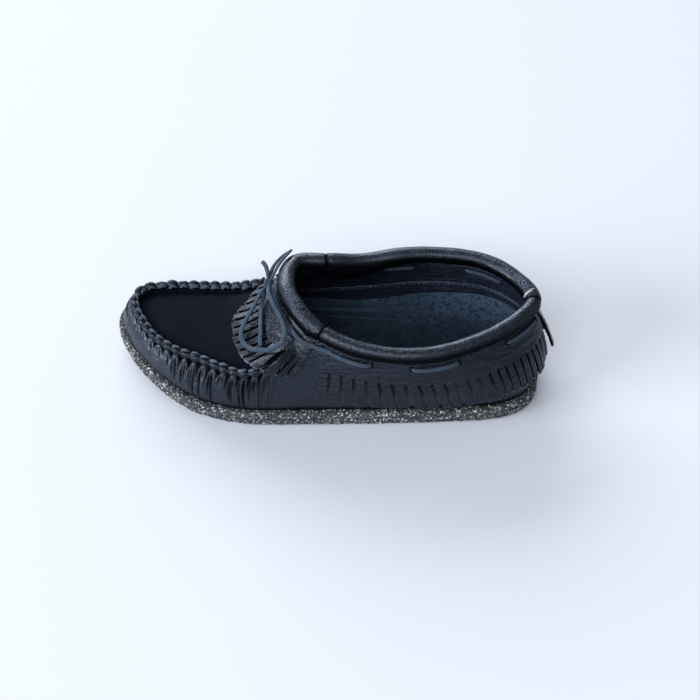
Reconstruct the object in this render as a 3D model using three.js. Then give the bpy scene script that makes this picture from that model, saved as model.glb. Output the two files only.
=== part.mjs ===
// A left moccasin boot: low, black leather, rolled collar, fringed cuff, crumb rubber sole.
// Millimetres. +X points to the toe, +Y to the outer side of the foot, +Z up. The floor is z = 0.
import * as THREE from "three";

// Sole
const LENGTH = 277;
const BALL_WIDTH = 104;
const HEEL_WIDTH = 68;
const SOLE_THICKNESS = 12;
const TOE_SPRING = 7;
const WELT = 3;

// Upper
const SEAM_HEIGHT = 34.5;
const COLLAR_HEIGHT = 71;
const INSTEP_HEIGHT = 77;
const LEATHER = 2;
const MARGIN = 12;
const PLUG_CROWN = 0.09;
const INSOLE = 3;
const THONG = 4.2;

// Collar, cuff and lace
const ROLL = 10.6;
const CUFF_TOP = 2;
const CUFF_DROP = 35;
const CUFF_BAND = 0.46;
const HEEL_FLARE = 8;
const STRIPS_PER_SIDE = 24;
const KILTIE_STRIPS = 21;
const CUFF_SLIT = 0.14;
const KILTIE_SLIT = 0.3;
const LACE_WIDTH = 3.2;
const LACE_THICKNESS = 1.2;
const KNOT = 7;

// Every place where two pieces meet keeps this gap.
const JOINT = 0.3;

const vec = (x, y, z) => new THREE.Vector3(x, y, z);
const mix = (a, b, s) => a + (b - a) * s;
const between = (p, q, s) => p.clone().lerp(q, s);
const ease = (a, b, x) => THREE.MathUtils.smoothstep(x, a, b);

// The rim of the sole, from the middle of the heel round the outer side to the toe and back.
// along is a share of LENGTH from the middle; across is a share of the width at that place.
const SOLE_EDGE = [
  { at: "heel", along: -0.5055, across: -0.015 },
  { at: "heel, outer corner", along: -0.489, across: 0.3 },
  { at: "heel, outer side", along: -0.425, across: 0.485 },
  { at: "behind the waist, outer", along: -0.307, across: 0.525 },
  { at: "waist, outer", along: -0.145, across: 0.528 },
  { at: "throat, outer", along: 0.018, across: 0.52 },
  { at: "ball, outer", along: 0.166, across: 0.505 },
  { at: "forefoot, outer", along: 0.289, across: 0.435 },
  { at: "toe, outer corner", along: 0.375, across: 0.29 },
  { at: "toe, outer front", along: 0.453, across: 0.08 },
  { at: "toe", along: 0.4945, across: -0.145 },
  { at: "toe, inner front", along: 0.484, across: -0.3 },
  { at: "toe, inner corner", along: 0.441, across: -0.41 },
  { at: "forefoot, inner", along: 0.35, across: -0.466 },
  { at: "ball, inner", along: 0.235, across: -0.488 },
  { at: "throat, inner", along: 0.072, across: -0.508 },
  { at: "waist, inner", along: -0.09, across: -0.532 },
  { at: "behind the waist, inner", along: -0.253, across: -0.532 },
  { at: "heel, inner side", along: -0.404, across: -0.505 },
  { at: "heel, inner corner", along: -0.483, across: -0.31 },
];

// The raised seam round the plug. height is a share of SEAM_HEIGHT.
const SEAM = [
  { at: "ball, outer", along: 0.145, across: 0.433, height: 1.216 },
  { at: "forefoot, outer", along: 0.26, across: 0.313, height: 1.068 },
  { at: "toe, outer corner", along: 0.354, across: 0.188, height: 1.008 },
  { at: "toe, outer front", along: 0.415, across: 0.024, height: 0.981 },
  { at: "toe", along: 0.451, across: -0.173, height: 0.973 },
  { at: "toe, inner front", along: 0.439, across: -0.272, height: 0.975 },
  { at: "toe, inner corner", along: 0.393, across: -0.313, height: 0.99 },
  { at: "forefoot, inner", along: 0.31, across: -0.322, height: 1.035 },
  { at: "ball, inner", along: 0.195, across: -0.296, height: 1.19 },
];

// The middle of the padded roll round the opening, from the heel seam round the outer side.
// height is a share of COLLAR_HEIGHT at the heel and sides, of INSTEP_HEIGHT where it crosses the foot.
const COLLAR = [
  { at: "heel seam", along: -0.475, across: -0.075, height: 1.0 },
  { at: "heel, outer", along: -0.439, across: 0.15, height: 0.972 },
  { at: "behind the ankle, outer", along: -0.362, across: 0.37, height: 0.94 },
  { at: "ankle, outer", along: -0.246, across: 0.505, height: 0.915 },
  { at: "before the ankle, outer", along: -0.119, across: 0.472, height: 0.93 },
  { at: "throat, outer", along: -0.014, across: 0.342, instep: 0.91 },
  { at: "instep, outer", along: 0.036, across: 0.214, instep: 0.974 },
  { at: "instep", along: 0.071, across: 0.05, instep: 1.0 },
  { at: "instep, inner", along: 0.078, across: -0.11, instep: 0.994 },
  { at: "throat front, inner", along: 0.063, across: -0.232, instep: 0.974 },
  { at: "throat, inner", along: -0.002, across: -0.286, instep: 0.96 },
  { at: "before the ankle, inner", along: -0.137, across: -0.42, height: 1.014 },
  { at: "ankle, inner", along: -0.246, across: -0.523, height: 1.0 },
  { at: "behind the ankle, inner", along: -0.361, across: -0.53, height: 1.0 },
  { at: "heel, inner", along: -0.441, across: -0.33, height: 1.0 },
];

const widthAt = (along) =>
  mix(HEEL_WIDTH, BALL_WIDTH, Math.min(1, Math.max(0, (along + 0.42) / 0.58)));
const springAt = (x) =>
  TOE_SPRING * Math.max(0, (x / LENGTH - 0.2) / 0.3) ** 2;
const placed = (row, z) =>
  vec(row.along * LENGTH, row.across * widthAt(row.along), z);

const edgeCurve = new THREE.CatmullRomCurve3(
  SOLE_EDGE.map((row) => placed(row, 0)), true, "centripetal");
const rollCurve = new THREE.CatmullRomCurve3(
  COLLAR.map((row) =>
    placed(row, row.instep ? row.instep * INSTEP_HEIGHT : row.height * COLLAR_HEIGHT)),
  true, "centripetal");

const ROLL_RADIUS = ROLL / 2;
const THROAT_OUTER = 5;
const THROAT_INNER = 10;
const ROLL_ROWS = COLLAR.length;
const underRoll = (row) =>
  rollCurve.getPoint((((row % ROLL_ROWS) + ROLL_ROWS) % ROLL_ROWS) / ROLL_ROWS)
    .add(vec(0, 0, -ROLL_RADIUS - JOINT));
const seamCurve = new THREE.CatmullRomCurve3(
  [underRoll(THROAT_OUTER), ...SEAM.map((row) => placed(row, row.height * SEAM_HEIGHT)),
    underRoll(THROAT_INNER)], false, "centripetal");

// A place round the shoe is one number: 0 heel, 0.25 outer throat, 0.5 toe, 0.75 inner throat, 1 heel.
const turn = (t) => ((t % 1) + 1) % 1;

// The rim of the sole, inset by a distance, at a height above the sprung floor.
// The outline runs clockwise seen from above, so inward is to its right.
function rim(t, inset, z) {
  const p = edgeCurve.getPoint(turn(t));
  const q = edgeCurve.getPoint(turn(t + 0.004)).sub(edgeCurve.getPoint(turn(t - 0.004))).normalize();
  const x = p.x + q.y * inset;
  const y = p.y - q.x * inset;
  return vec(x, y, z + springAt(x));
}

// The top edge of the leather wall: under the roll behind the throat, the raised seam before it.
function topEdge(t) {
  const k = turn(t) * 20;
  if (k <= 5) return underRoll(k);
  if (k >= 15) return underRoll(k - 5);
  return seamCurve.getPoint((k - 5) / 10);
}

// How far a place belongs to the forefoot, where the wall rolls in over the toes.
const forefoot = (t) => ease(0.22, 0.33, turn(t)) * (1 - ease(0.67, 0.78, turn(t)));

// The outside of the leather wall. s runs from the sole (0) to the top edge (1).
function wall(t, s) {
  const foot = rim(t, WELT, SOLE_THICKNESS + JOINT);
  const top = topEdge(t);
  const round = mix(0.25, 0.88, forefoot(t));
  const reach = mix(s, 1 - Math.cos((s * Math.PI) / 2), round);
  const rise = mix(s, Math.sin((s * Math.PI) / 2), round);
  const p = vec(mix(foot.x, top.x, reach), mix(foot.y, top.y, reach), mix(foot.z, top.z, rise));
  const bulge = mix(3.2, 0.6, forefoot(t)) * Math.sin(Math.PI * s);
  const out = rim(t, WELT - 1, 0).sub(rim(t, WELT, 0)).setZ(0).normalize();
  return p.addScaledVector(out, bulge);
}

// The unit normal of a surface of two numbers, by small steps.
function normalOf(surface, u, v, du, dv) {
  const a = surface(u + du, v).sub(surface(u - du, v));
  const b = surface(u, v + dv).sub(surface(u, v - dv));
  return a.cross(b).normalize();
}
function wallNormal(t, s) {
  const clear = Math.min(0.96, Math.max(0.04, s));
  const n = normalOf(wall, t, clear, 0.006, 0.03);
  const out = rim(t, WELT - 1, 0).sub(rim(t, WELT, 0));
  return n.x * out.x + n.y * out.y < 0 ? n.negate() : n;
}
const offWall = (t, s, lift) => wall(t, s).addScaledVector(wallNormal(t, s), lift);

// The plug over the foot. a runs from under the roll (0) to the toe (1), b from inner (-1) to outer (1).
function plug(a, b) {
  const t = 0.25 + 0.25 * a;
  const outer = offWall(t, 1, -LEATHER - JOINT);
  const inner = offWall(1 - t, 1, -LEATHER - JOINT);
  const h = (1 - b) / 2;
  const p = between(outer, inner, h);
  const arc = underRoll(mix(THROAT_OUTER, THROAT_INNER, h))
    .sub(between(underRoll(THROAT_OUTER), underRoll(THROAT_INNER), h));
  const fade = Math.max(0, 1 - a / 0.5) ** 2;
  const crown = PLUG_CROWN * outer.distanceTo(inner) * ease(-0.05, 0.3, a) * (1 - b * b);
  return p.addScaledVector(arc, fade).add(vec(0, 0, crown));
}
function plugNormal(a, b) {
  const n = normalOf(plug, Math.min(0.93, Math.max(0.03, a)), b, 0.02, 0.04);
  return n.z < 0 ? n.negate() : n;
}

// The outside of the shoe before the throat: the plug, and past b = 1 or -1 the wall beside it.
function skin(a, b) {
  const past = Math.abs(b) - 1;
  const t = b > 0 ? 0.25 + 0.25 * a : 0.75 - 0.25 * a;
  if (past > 0) return wall(t, 1 - past);
  const step = (LEATHER + JOINT) * ease(-0.3, 0, past);
  return plug(a, b).addScaledVector(wallNormal(t, 1), step);
}
function skinNormal(a, b) {
  const n = normalOf(skin, Math.max(0.03, a), b, 0.03, 0.14);
  const side = b > 0 ? 1 : -1;
  return n.z + n.y * side * 0.5 < 0 ? n.negate() : n;
}

// A closed body from points and triangles: doubled points merged, faces turned outwards.
function closedBody(points, faces) {
  const seen = new Map();
  const kept = [];
  const index = points.map((p) => {
    const key = [p.x, p.y, p.z].map((c) => Math.round(c * 2000)).join();
    if (!seen.has(key)) {
      seen.set(key, kept.length);
      kept.push(p);
    }
    return seen.get(key);
  });
  const sound = faces
    .map((f) => f.map((i) => index[i]))
    .filter(([a, b, c]) => a !== b && b !== c && c !== a);
  let volume = 0;
  for (const [a, b, c] of sound) {
    volume += kept[a].dot(kept[b].clone().cross(kept[c]));
  }
  const turned = volume < 0 ? sound.map(([a, b, c]) => [a, c, b]) : sound;
  const used = new Map();
  const flat = [];
  const order = turned.flat().map((i) => {
    if (!used.has(i)) {
      used.set(i, used.size);
      flat.push(kept[i].x, kept[i].y, kept[i].z);
    }
    return used.get(i);
  });
  const geometry = new THREE.BufferGeometry();
  geometry.setAttribute("position", new THREE.Float32BufferAttribute(flat, 3));
  geometry.setIndex(order);
  return geometry;
}

// A sheet with thickness: two grids of points, with some cells left out.
function sheet(rows, columns, outside, inside, present = () => true) {
  const points = [];
  for (const side of [outside, inside]) {
    for (let i = 0; i <= rows; i++) {
      for (let j = 0; j <= columns; j++) points.push(side(i, j));
    }
  }
  const far = (rows + 1) * (columns + 1);
  const at = (i, j) => i * (columns + 1) + j;
  const has = (i, j) => i >= 0 && j >= 0 && i < rows && j < columns && present(i, j);
  const faces = [];
  const wallBetween = (a, b) => faces.push([a, b, b + far], [a, b + far, a + far]);
  for (let i = 0; i < rows; i++) {
    for (let j = 0; j < columns; j++) {
      if (!has(i, j)) continue;
      const [a, b, c, d] = [at(i, j), at(i + 1, j), at(i + 1, j + 1), at(i, j + 1)];
      faces.push([a, c, b], [a, d, c]);
      faces.push([a + far, b + far, c + far], [a + far, c + far, d + far]);
      if (!has(i, j - 1)) wallBetween(a, b);
      if (!has(i + 1, j)) wallBetween(b, c);
      if (!has(i, j + 1)) wallBetween(c, d);
      if (!has(i - 1, j)) wallBetween(d, a);
    }
  }
  return closedBody(points, faces);
}

// A plate with the plan of the sole: rings from the bottom to the top, then a lid at each end.
function plate(levels) {
  const around = 64;
  const across = 4;
  const points = [];
  const faces = [];
  const ring = (level) => {
    for (let i = 0; i < around; i++) points.push(rim(i / around, level.inset, level.z));
  };
  levels.forEach(ring);
  for (let k = 0; k + 1 < levels.length; k++) {
    for (let i = 0; i < around; i++) {
      const a = k * around + i;
      const b = k * around + ((i + 1) % around);
      faces.push([a, b, b + around], [a, b + around, a + around]);
    }
  }
  const lid = (first, level, up) => {
    const half = around / 2;
    const row = (i) => {
      const ends = [first + i, first + ((around - i) % around)];
      if (i === 0 || i === half) return Array(across + 1).fill(first + i);
      const line = [ends[0]];
      for (let j = 1; j < across; j++) {
        const p = between(points[ends[0]], points[ends[1]], j / across);
        p.z = level.z + springAt(p.x);
        points.push(p);
        line.push(points.length - 1);
      }
      line.push(ends[1]);
      return line;
    };
    let last = row(0);
    for (let i = 1; i <= half; i++) {
      const next = row(i);
      for (let j = 0; j < across; j++) {
        const quad = [last[j], next[j], next[j + 1], last[j + 1]];
        const order = up ? quad : quad.reverse();
        faces.push([order[0], order[1], order[2]], [order[0], order[2], order[3]]);
      }
      last = next;
    }
  };
  lid(0, levels[0], false);
  lid((levels.length - 1) * around, levels[levels.length - 1], true);
  return closedBody(points, faces);
}

// A hollow ring: one closed section at each place round the shoe.
function hollowRing(around, section) {
  const points = [];
  const faces = [];
  let size = 0;
  for (let i = 0; i < around; i++) {
    const loop = section(i / around);
    size = loop.length;
    points.push(...loop);
  }
  for (let i = 0; i < around; i++) {
    const next = (i + 1) % around;
    for (let j = 0; j < size; j++) {
      const k = (j + 1) % size;
      const [a, b, c, d] = [i * size + j, next * size + j, next * size + k, i * size + k];
      faces.push([a, b, c], [a, c, d]);
    }
  }
  return closedBody(points, faces);
}

// A round rope along a curve.
function rope(curve, radius, steps, sides) {
  const shape = new THREE.Shape();
  for (let i = 0; i < sides; i++) {
    const angle = (2 * Math.PI * i) / sides;
    const x = radius * Math.cos(angle);
    const y = radius * Math.sin(angle);
    if (i === 0) shape.moveTo(x, y);
    else shape.lineTo(x, y);
  }
  const raw = new THREE.ExtrudeGeometry(shape, { steps, extrudePath: curve, bevelEnabled: false });
  const at = raw.attributes.position;
  const points = [];
  const faces = [];
  for (let i = 0; i < at.count; i++) points.push(vec().fromBufferAttribute(at, i));
  for (let i = 0; i < at.count; i += 3) faces.push([i, i + 1, i + 2]);
  return closedBody(points, faces);
}

// A flat lace through points, lying flat on the given normals.
function ribbon(places, steps) {
  const path = new THREE.CatmullRomCurve3(places.map((p) => p.point), false, "centripetal");
  const lean = new THREE.CatmullRomCurve3(places.map((p) => p.normal), false, "centripetal");
  const frame = (i) => {
    const u = i / steps;
    const along = path.getTangent(u);
    const side = along.clone().cross(lean.getPoint(u)).normalize();
    const up = side.clone().cross(along).normalize();
    return { p: path.getPoint(u), side, up };
  };
  const corner = (i, j, lift) => {
    const f = frame(i);
    return f.p
      .addScaledVector(f.side, (j - 0.5) * LACE_WIDTH)
      .addScaledVector(f.up, lift * LACE_THICKNESS);
  };
  return sheet(steps, 1, (i, j) => corner(i, j, 0.5), (i, j) => corner(i, j, -0.5));
}

// Heights of the stacked pieces over the sole.
const LAYER = 0.6 * SOLE_THICKNESS;
const MARGIN_TOP = SOLE_THICKNESS + JOINT + LEATHER;
const INSOLE_EDGE = WELT + LEATHER + 1.6;

const outsole = plate([
  { inset: 4.5, z: 0 },
  { inset: 1.6, z: 0.1 * SOLE_THICKNESS },
  { inset: 0.5, z: 0.23 * SOLE_THICKNESS },
  { inset: 1.4, z: 0.28 * SOLE_THICKNESS },
  { inset: 0.3, z: 0.33 * SOLE_THICKNESS },
  { inset: 0, z: 0.45 * SOLE_THICKNESS },
  { inset: 0.4, z: LAYER - 0.5 },
  { inset: 1.7, z: LAYER - JOINT },
]);
const midsole = plate([
  { inset: 1.7, z: LAYER },
  { inset: 0.5, z: LAYER + 0.3 },
  { inset: 0, z: mix(LAYER, SOLE_THICKNESS, 0.35) },
  { inset: 0.1, z: mix(LAYER, SOLE_THICKNESS, 0.75) },
  { inset: 1.1, z: SOLE_THICKNESS },
]);
const insole = plate([
  { inset: WELT + MARGIN + 1.2, z: SOLE_THICKNESS + JOINT },
  { inset: WELT + MARGIN + 1.2, z: MARGIN_TOP + JOINT },
  { inset: INSOLE_EDGE, z: MARGIN_TOP + JOINT },
  { inset: INSOLE_EDGE, z: MARGIN_TOP + JOINT + INSOLE - 0.6 },
  { inset: INSOLE_EDGE + 0.8, z: MARGIN_TOP + JOINT + INSOLE },
]);

// The wall of the upper, with its margin turned in under the insole.
const WALL_STEPS = 7;
const upper = hollowRing(72, (t) => {
  const loop = [];
  const low = SOLE_THICKNESS + JOINT;
  loop.push(rim(t, WELT + MARGIN, low));
  for (let i = 0; i <= WALL_STEPS; i++) loop.push(offWall(t, i / WALL_STEPS, 0));
  for (let i = WALL_STEPS; i >= 1; i--) loop.push(offWall(t, i / WALL_STEPS, -LEATHER));
  loop.push(rim(t, WELT + LEATHER + 0.3, low + LEATHER));
  loop.push(rim(t, WELT + MARGIN, low + LEATHER));
  return loop;
});

const plugPiece = sheet(22, 8,
  (i, j) => plug(i / 22, j / 4 - 1),
  (i, j) => plug(i / 22, j / 4 - 1).addScaledVector(plugNormal(i / 22, j / 4 - 1), -LEATHER));

// The whipstitched thong lies on the seam.
const THONG_FROM = 0.29;
const thongLine = [];
for (let i = 0; i <= 40; i++) {
  const t = mix(THONG_FROM, 1 - THONG_FROM, i / 40);
  thongLine.push(offWall(t, 1, THONG / 2 + JOINT + 0.35));
}
const thong = rope(new THREE.CatmullRomCurve3(thongLine, false, "centripetal"), THONG / 2, 66, 6);

// The roll is sewn from three lengths that meet end to end.
class RollLength extends THREE.Curve {
  constructor(from, to) {
    super();
    this.from = from;
    this.to = to;
  }
  getPoint(u) {
    const row = mix(this.from, this.to, u);
    return rollCurve.getPoint((((row % ROLL_ROWS) + ROLL_ROWS) % ROLL_ROWS) / ROLL_ROWS);
  }
}
const SEAM_GAP = 0.009;
const rollPiece = (from, to, steps) =>
  rope(new RollLength(from + SEAM_GAP, to - SEAM_GAP), ROLL_RADIUS, steps, 10);

// The cuff hangs from under the roll outside the wall. Its lower part is cut into strips,
// which stand out at the heel's inner side.
function cuffLift(t, s) {
  const heel = 1 - ease(0.02, 0.1, 1 - turn(t));
  return 0.4 + mix(3.2, HEEL_FLARE, heel) * s ** 1.4;
}
function cuffPoint(t, s, extra) {
  const height = wall(t, 1).z - wall(t, 0).z;
  const low = 1 - (CUFF_TOP + CUFF_DROP * s) / height;
  return offWall(t, low, cuffLift(t, s) + extra);
}
function cuff(from, to, strips) {
  const columns = strips * 2 - 1;
  const levels = [0, 0.2, CUFF_BAND, 0.75, 1];
  const place = (j) => {
    const strip = Math.floor(j / 2);
    const cut = j % 2 === 0 ? CUFF_SLIT / 2 : 1 - CUFF_SLIT / 2;
    return mix(from, to, (strip + cut) / strips);
  };
  return sheet(levels.length - 1, columns,
    (i, j) => cuffPoint(place(j), levels[i], LEATHER),
    (i, j) => cuffPoint(place(j), levels[i], 0),
    (i, j) => i < 2 || j % 2 === 0);
}

// The kiltie fans out from the front of the roll over the plug, and down the wall at both ends.
// Each strip starts under the roll at from and reaches to a on the plug.
const KILTIE_TIPS = [
  { at: "inner end", from: -1, reach: 0.045 },
  { at: "inner side", from: -0.6, reach: 0.1 },
  { at: "under the bow", from: -0.3, reach: 0.145 },
  { at: "middle", from: 0, reach: 0.2 },
  { at: "outer middle", from: 0.35, reach: 0.222 },
  { at: "outer side", from: 0.62, reach: 0.2 },
  { at: "over the seam", from: 0.82, reach: 0.15 },
  { at: "outer end", from: 1, reach: 0.045 },
];
const tipCurve = new THREE.SplineCurve(
  KILTIE_TIPS.map((row) => new THREE.Vector2(row.from, row.reach)));
function tipReach(b) {
  let low = 0;
  let high = 1;
  for (let k = 0; k < 24; k++) {
    const middle = (low + high) / 2;
    if (tipCurve.getPoint(middle).x < b) low = middle;
    else high = middle;
  }
  return tipCurve.getPoint(low).y;
}
const KILTIE_START = 0.02;
// The strips stand closer together at both ends of the kiltie than over the instep.
const KILTIE_CROWD = 0.06;
function kiltiePoint(b, s, extra) {
  const a = mix(KILTIE_START, tipReach(b), s);
  const spread = b * (1 + 0.5 * s * b * b);
  const over = Math.exp(-(((Math.abs(spread) - 1) / 0.22) ** 2)) * ease(0.06, 0.115, a);
  const start = 1 - ease(0, 0.3, s);
  const lift = 0.9 + over * (THONG + 2.4) + start * 0.6;
  const n = skinNormal(a, spread);
  return skin(a, spread).addScaledVector(n, lift + extra);
}
function kiltiePiece() {
  const columns = KILTIE_STRIPS * 2 - 1;
  const levels = [0, 0.2, 0.42, 0.7, 1];
  const place = (j) => {
    const strip = Math.floor(j / 2);
    const cut = j % 2 === 0 ? KILTIE_SLIT / 2 : 1 - KILTIE_SLIT / 2;
    const share = (strip + cut) / KILTIE_STRIPS;
    return mix(0.99, -0.99, share - KILTIE_CROWD * Math.sin(2 * Math.PI * share));
  };
  return sheet(levels.length - 1, columns,
    (i, j) => kiltiePoint(place(j), levels[i], LEATHER),
    (i, j) => kiltiePoint(place(j), levels[i], 0),
    (i, j) => i < 2 || j % 2 === 0);
}

// One stitch of the lace, outside the cuff or inside the wall.
function laceBar(from, to, outside) {
  const steps = Math.max(4, Math.round(Math.abs(to - from) * 120));
  const low = outside ? LEATHER + JOINT : -LEATHER - JOINT - LACE_THICKNESS;
  const point = (i, j, lift) => {
    const t = mix(from, to, i / steps);
    const height = wall(t, 1).z - wall(t, 0).z;
    const s = (1.2 + LACE_WIDTH * j) / CUFF_DROP;
    const base = outside ? cuffLift(t, s) : 0;
    return offWall(t, 1 - (CUFF_TOP + CUFF_DROP * s) / height, base + low + lift);
  };
  return sheet(steps, 1, (i, j) => point(i, j, LACE_THICKNESS), (i, j) => point(i, j, 0));
}

// The bow lies on the kiltie before the roll; its far loop leans on the roll, and its short end
// stands up. Rows give places on the plug, under the roll where a is below 0, and a lift over it.
const onSkin = (row) => {
  const n = skinNormal(row.a, row.b);
  return { point: skin(row.a, row.b).addScaledVector(n, row.lift), normal: n.clone() };
};
const KNOT_PLACE = { a: 0.053, b: -0.21, lift: 7.1 };
const NEAR_LOOP = [
  { a: 0.074, b: -0.07, lift: 8.5 },
  { a: 0.102, b: 0.06, lift: 7.6 },
  { a: 0.144, b: 0.22, lift: 6.8 },
  { a: 0.172, b: 0.37, lift: 6.4 },
  { a: 0.176, b: 0.53, lift: 6.4 },
  { a: 0.158, b: 0.68, lift: 7.6 },
  { a: 0.134, b: 0.78, lift: 8.6 },
  { a: 0.108, b: 0.85, lift: 8.6 },
  { a: 0.078, b: 0.83, lift: 8 },
  { a: 0.053, b: 0.7, lift: 7.4 },
  { a: 0.04, b: 0.5, lift: 7.4 },
  { a: 0.038, b: 0.28, lift: 7.8 },
  { a: 0.044, b: 0.03, lift: 8.4 },
];
const FAR_LOOP = [
  { a: 0.046, b: -0.29, lift: 8.9 },
  { a: 0.038, b: -0.4, lift: 10.8 },
  { a: 0.025, b: -0.49, lift: 12.4 },
  { a: 0.009, b: -0.56, lift: 13.5 },
  { a: -0.048, b: -0.53, lift: 14.4 },
  { a: -0.096, b: -0.36, lift: 15.6 },
  { a: -0.058, b: -0.29, lift: 14.5 },
  { a: 0.008, b: -0.27, lift: 11.5 },
  { a: 0.029, b: -0.23, lift: 9.4 },
];
const SHORT_TAIL = [
  { a: 0.045, b: -0.27, lift: 10.5 },
  { a: 0.042, b: -0.33, lift: 13 },
  { a: 0.045, b: -0.4, lift: 15.5 },
  { a: 0.057, b: -0.48, lift: 17.8 },
];
const LONG_TAIL = [
  { a: 0.086, b: 0.05, lift: 4.8 },
  { a: 0.094, b: 0.2, lift: 4.5 },
  { a: 0.115, b: 0.47, lift: 4.5 },
  { a: 0.133, b: 0.68, lift: 5.2 },
];
const FRONT_STITCH = [
  { a: 0.036, b: 0.08, lift: 5.2 },
  { a: 0.036, b: 0.24, lift: 4.6 },
  { a: 0.037, b: 0.45, lift: 4.4 },
  { a: 0.038, b: 0.68, lift: 4.4 },
  { a: 0.038, b: 0.9, lift: 4.6 },
];
const KNOT_RADII = vec(0.95, 1.05, 0.8).multiplyScalar(KNOT / 2);
const knotCentre = onSkin(KNOT_PLACE).point;

// Where a lace that comes from a place meets the face of the knot.
function atKnot(place) {
  const way = place.point.clone().sub(knotCentre).normalize();
  const reach = 1 / way.clone().divide(KNOT_RADII).length();
  return { point: knotCentre.clone().addScaledVector(way, reach + JOINT), normal: place.normal };
}
function tail(rows, steps) {
  const places = rows.map(onSkin);
  return ribbon([atKnot(places[0]), ...places], steps);
}
function loop(rows, steps) {
  const places = rows.map(onSkin);
  return ribbon([atKnot(places[0]), ...places, atKnot(places[places.length - 1])], steps);
}

function knotBody() {
  const ball = new THREE.IcosahedronGeometry(1, 2);
  const at = ball.attributes.position;
  const points = [];
  const faces = [];
  for (let i = 0; i < at.count; i++) {
    points.push(vec().fromBufferAttribute(at, i).multiply(KNOT_RADII).add(knotCentre));
  }
  for (let i = 0; i < at.count; i += 3) faces.push([i, i + 1, i + 2]);
  return closedBody(points, faces);
}

const shoe = new THREE.Group();
function piece(name, geometry, color, roughness) {
  const material = new THREE.MeshStandardMaterial({ color, roughness, metalness: 0 });
  const mesh = new THREE.Mesh(geometry, material);
  mesh.name = name;
  shoe.add(mesh);
}

const CRUMB = 0x3d3d40;
const GRAIN = 0x15171c;
const PLUG = 0x101218;
const SUEDE = 0x2b3743;
const THONG_COLOR = 0x191b21;
const LACE = 0x3a4957;

piece("outsole", outsole, CRUMB, 0.95);
piece("midsole", midsole, CRUMB, 0.95);
piece("insole", insole, SUEDE, 0.95);
piece("upper", upper, GRAIN, 0.5);
piece("plug", plugPiece, PLUG, 0.65);
piece("seam_thong", thong, THONG_COLOR, 0.55);
piece("collar_lateral", rollPiece(0, THROAT_OUTER, 22), GRAIN, 0.4);
piece("collar_front", rollPiece(THROAT_OUTER, THROAT_INNER, 18), GRAIN, 0.4);
piece("collar_medial", rollPiece(THROAT_INNER, ROLL_ROWS, 22), GRAIN, 0.4);
piece("kiltie", kiltiePiece(), GRAIN, 0.55);
piece("cuff_lateral", cuff(0.246, 0.003, STRIPS_PER_SIDE), GRAIN, 0.5);
piece("cuff_medial", cuff(0.754, 0.997, STRIPS_PER_SIDE), GRAIN, 0.5);

// The lace runs round the cuff in long stitches, in and out.
const OUTER_STITCHES = [
  { name: "lace_lateral_front", from: 0.243, to: 0.196 },
  { name: "lace_lateral_middle", from: 0.168, to: 0.122 },
  { name: "lace_lateral_heel", from: 0.075, to: 0.012 },
  { name: "lace_medial_front", from: 0.757, to: 0.79 },
  { name: "lace_medial_middle", from: 0.838, to: 0.872 },
  { name: "lace_medial_heel", from: 0.932, to: 0.988 },
];
const INNER_STITCHES = [
  { name: "lace_lateral_inside_front", from: 0.192, to: 0.172 },
  { name: "lace_lateral_inside_rear", from: 0.118, to: 0.079 },
  { name: "lace_medial_inside_front", from: 0.796, to: 0.832 },
  { name: "lace_medial_inside_rear", from: 0.878, to: 0.926 },
];
for (const stitch of OUTER_STITCHES) {
  piece(stitch.name, laceBar(stitch.from, stitch.to, true), LACE, 0.9);
}
for (const stitch of INNER_STITCHES) {
  piece(stitch.name, laceBar(stitch.from, stitch.to, false), LACE, 0.9);
}
piece("lace_kiltie_lateral", tail(FRONT_STITCH, 14), LACE, 0.9);
piece("bow_knot", knotBody(), LACE, 0.9);
piece("bow_loop_lateral", loop(NEAR_LOOP, 28), LACE, 0.9);
piece("bow_loop_medial", loop(FAR_LOOP, 20), LACE, 0.9);
piece("bow_tail_short", tail(SHORT_TAIL, 8), LACE, 0.9);
piece("bow_tail_long", tail(LONG_TAIL, 10), LACE, 0.9);

export default shoe;
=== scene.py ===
"""A left moccasin boot: the looks of its leather, suede and crumb rubber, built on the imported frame."""

import math

import bmesh
import bpy
import numpy as np
from bpy.props import FloatProperty, FloatVectorProperty, IntProperty, PointerProperty
from mathutils import Matrix, Vector, noise


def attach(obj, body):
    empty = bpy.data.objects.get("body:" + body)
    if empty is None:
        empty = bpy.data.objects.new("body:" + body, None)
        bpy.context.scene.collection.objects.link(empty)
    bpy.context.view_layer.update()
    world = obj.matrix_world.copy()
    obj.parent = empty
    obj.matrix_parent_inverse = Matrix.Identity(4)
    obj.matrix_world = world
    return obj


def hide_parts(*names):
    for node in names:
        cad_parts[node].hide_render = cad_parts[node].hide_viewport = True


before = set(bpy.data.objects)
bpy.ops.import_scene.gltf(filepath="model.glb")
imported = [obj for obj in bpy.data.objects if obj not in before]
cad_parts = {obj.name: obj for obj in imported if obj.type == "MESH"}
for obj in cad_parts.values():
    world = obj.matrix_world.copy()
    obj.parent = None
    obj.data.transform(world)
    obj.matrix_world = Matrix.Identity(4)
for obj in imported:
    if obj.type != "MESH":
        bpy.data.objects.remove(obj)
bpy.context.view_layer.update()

bl_info = {
    "name": "Moccasin boot",
    "version": (1, 0, 0),
    "blender": (4, 5, 0),
    "location": "3D View > Sidebar > Moccasin",
    "description": "Builds a low moccasin boot with a padded collar and fringed cuffs, piece by piece",
    "category": "Object",
}

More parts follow.
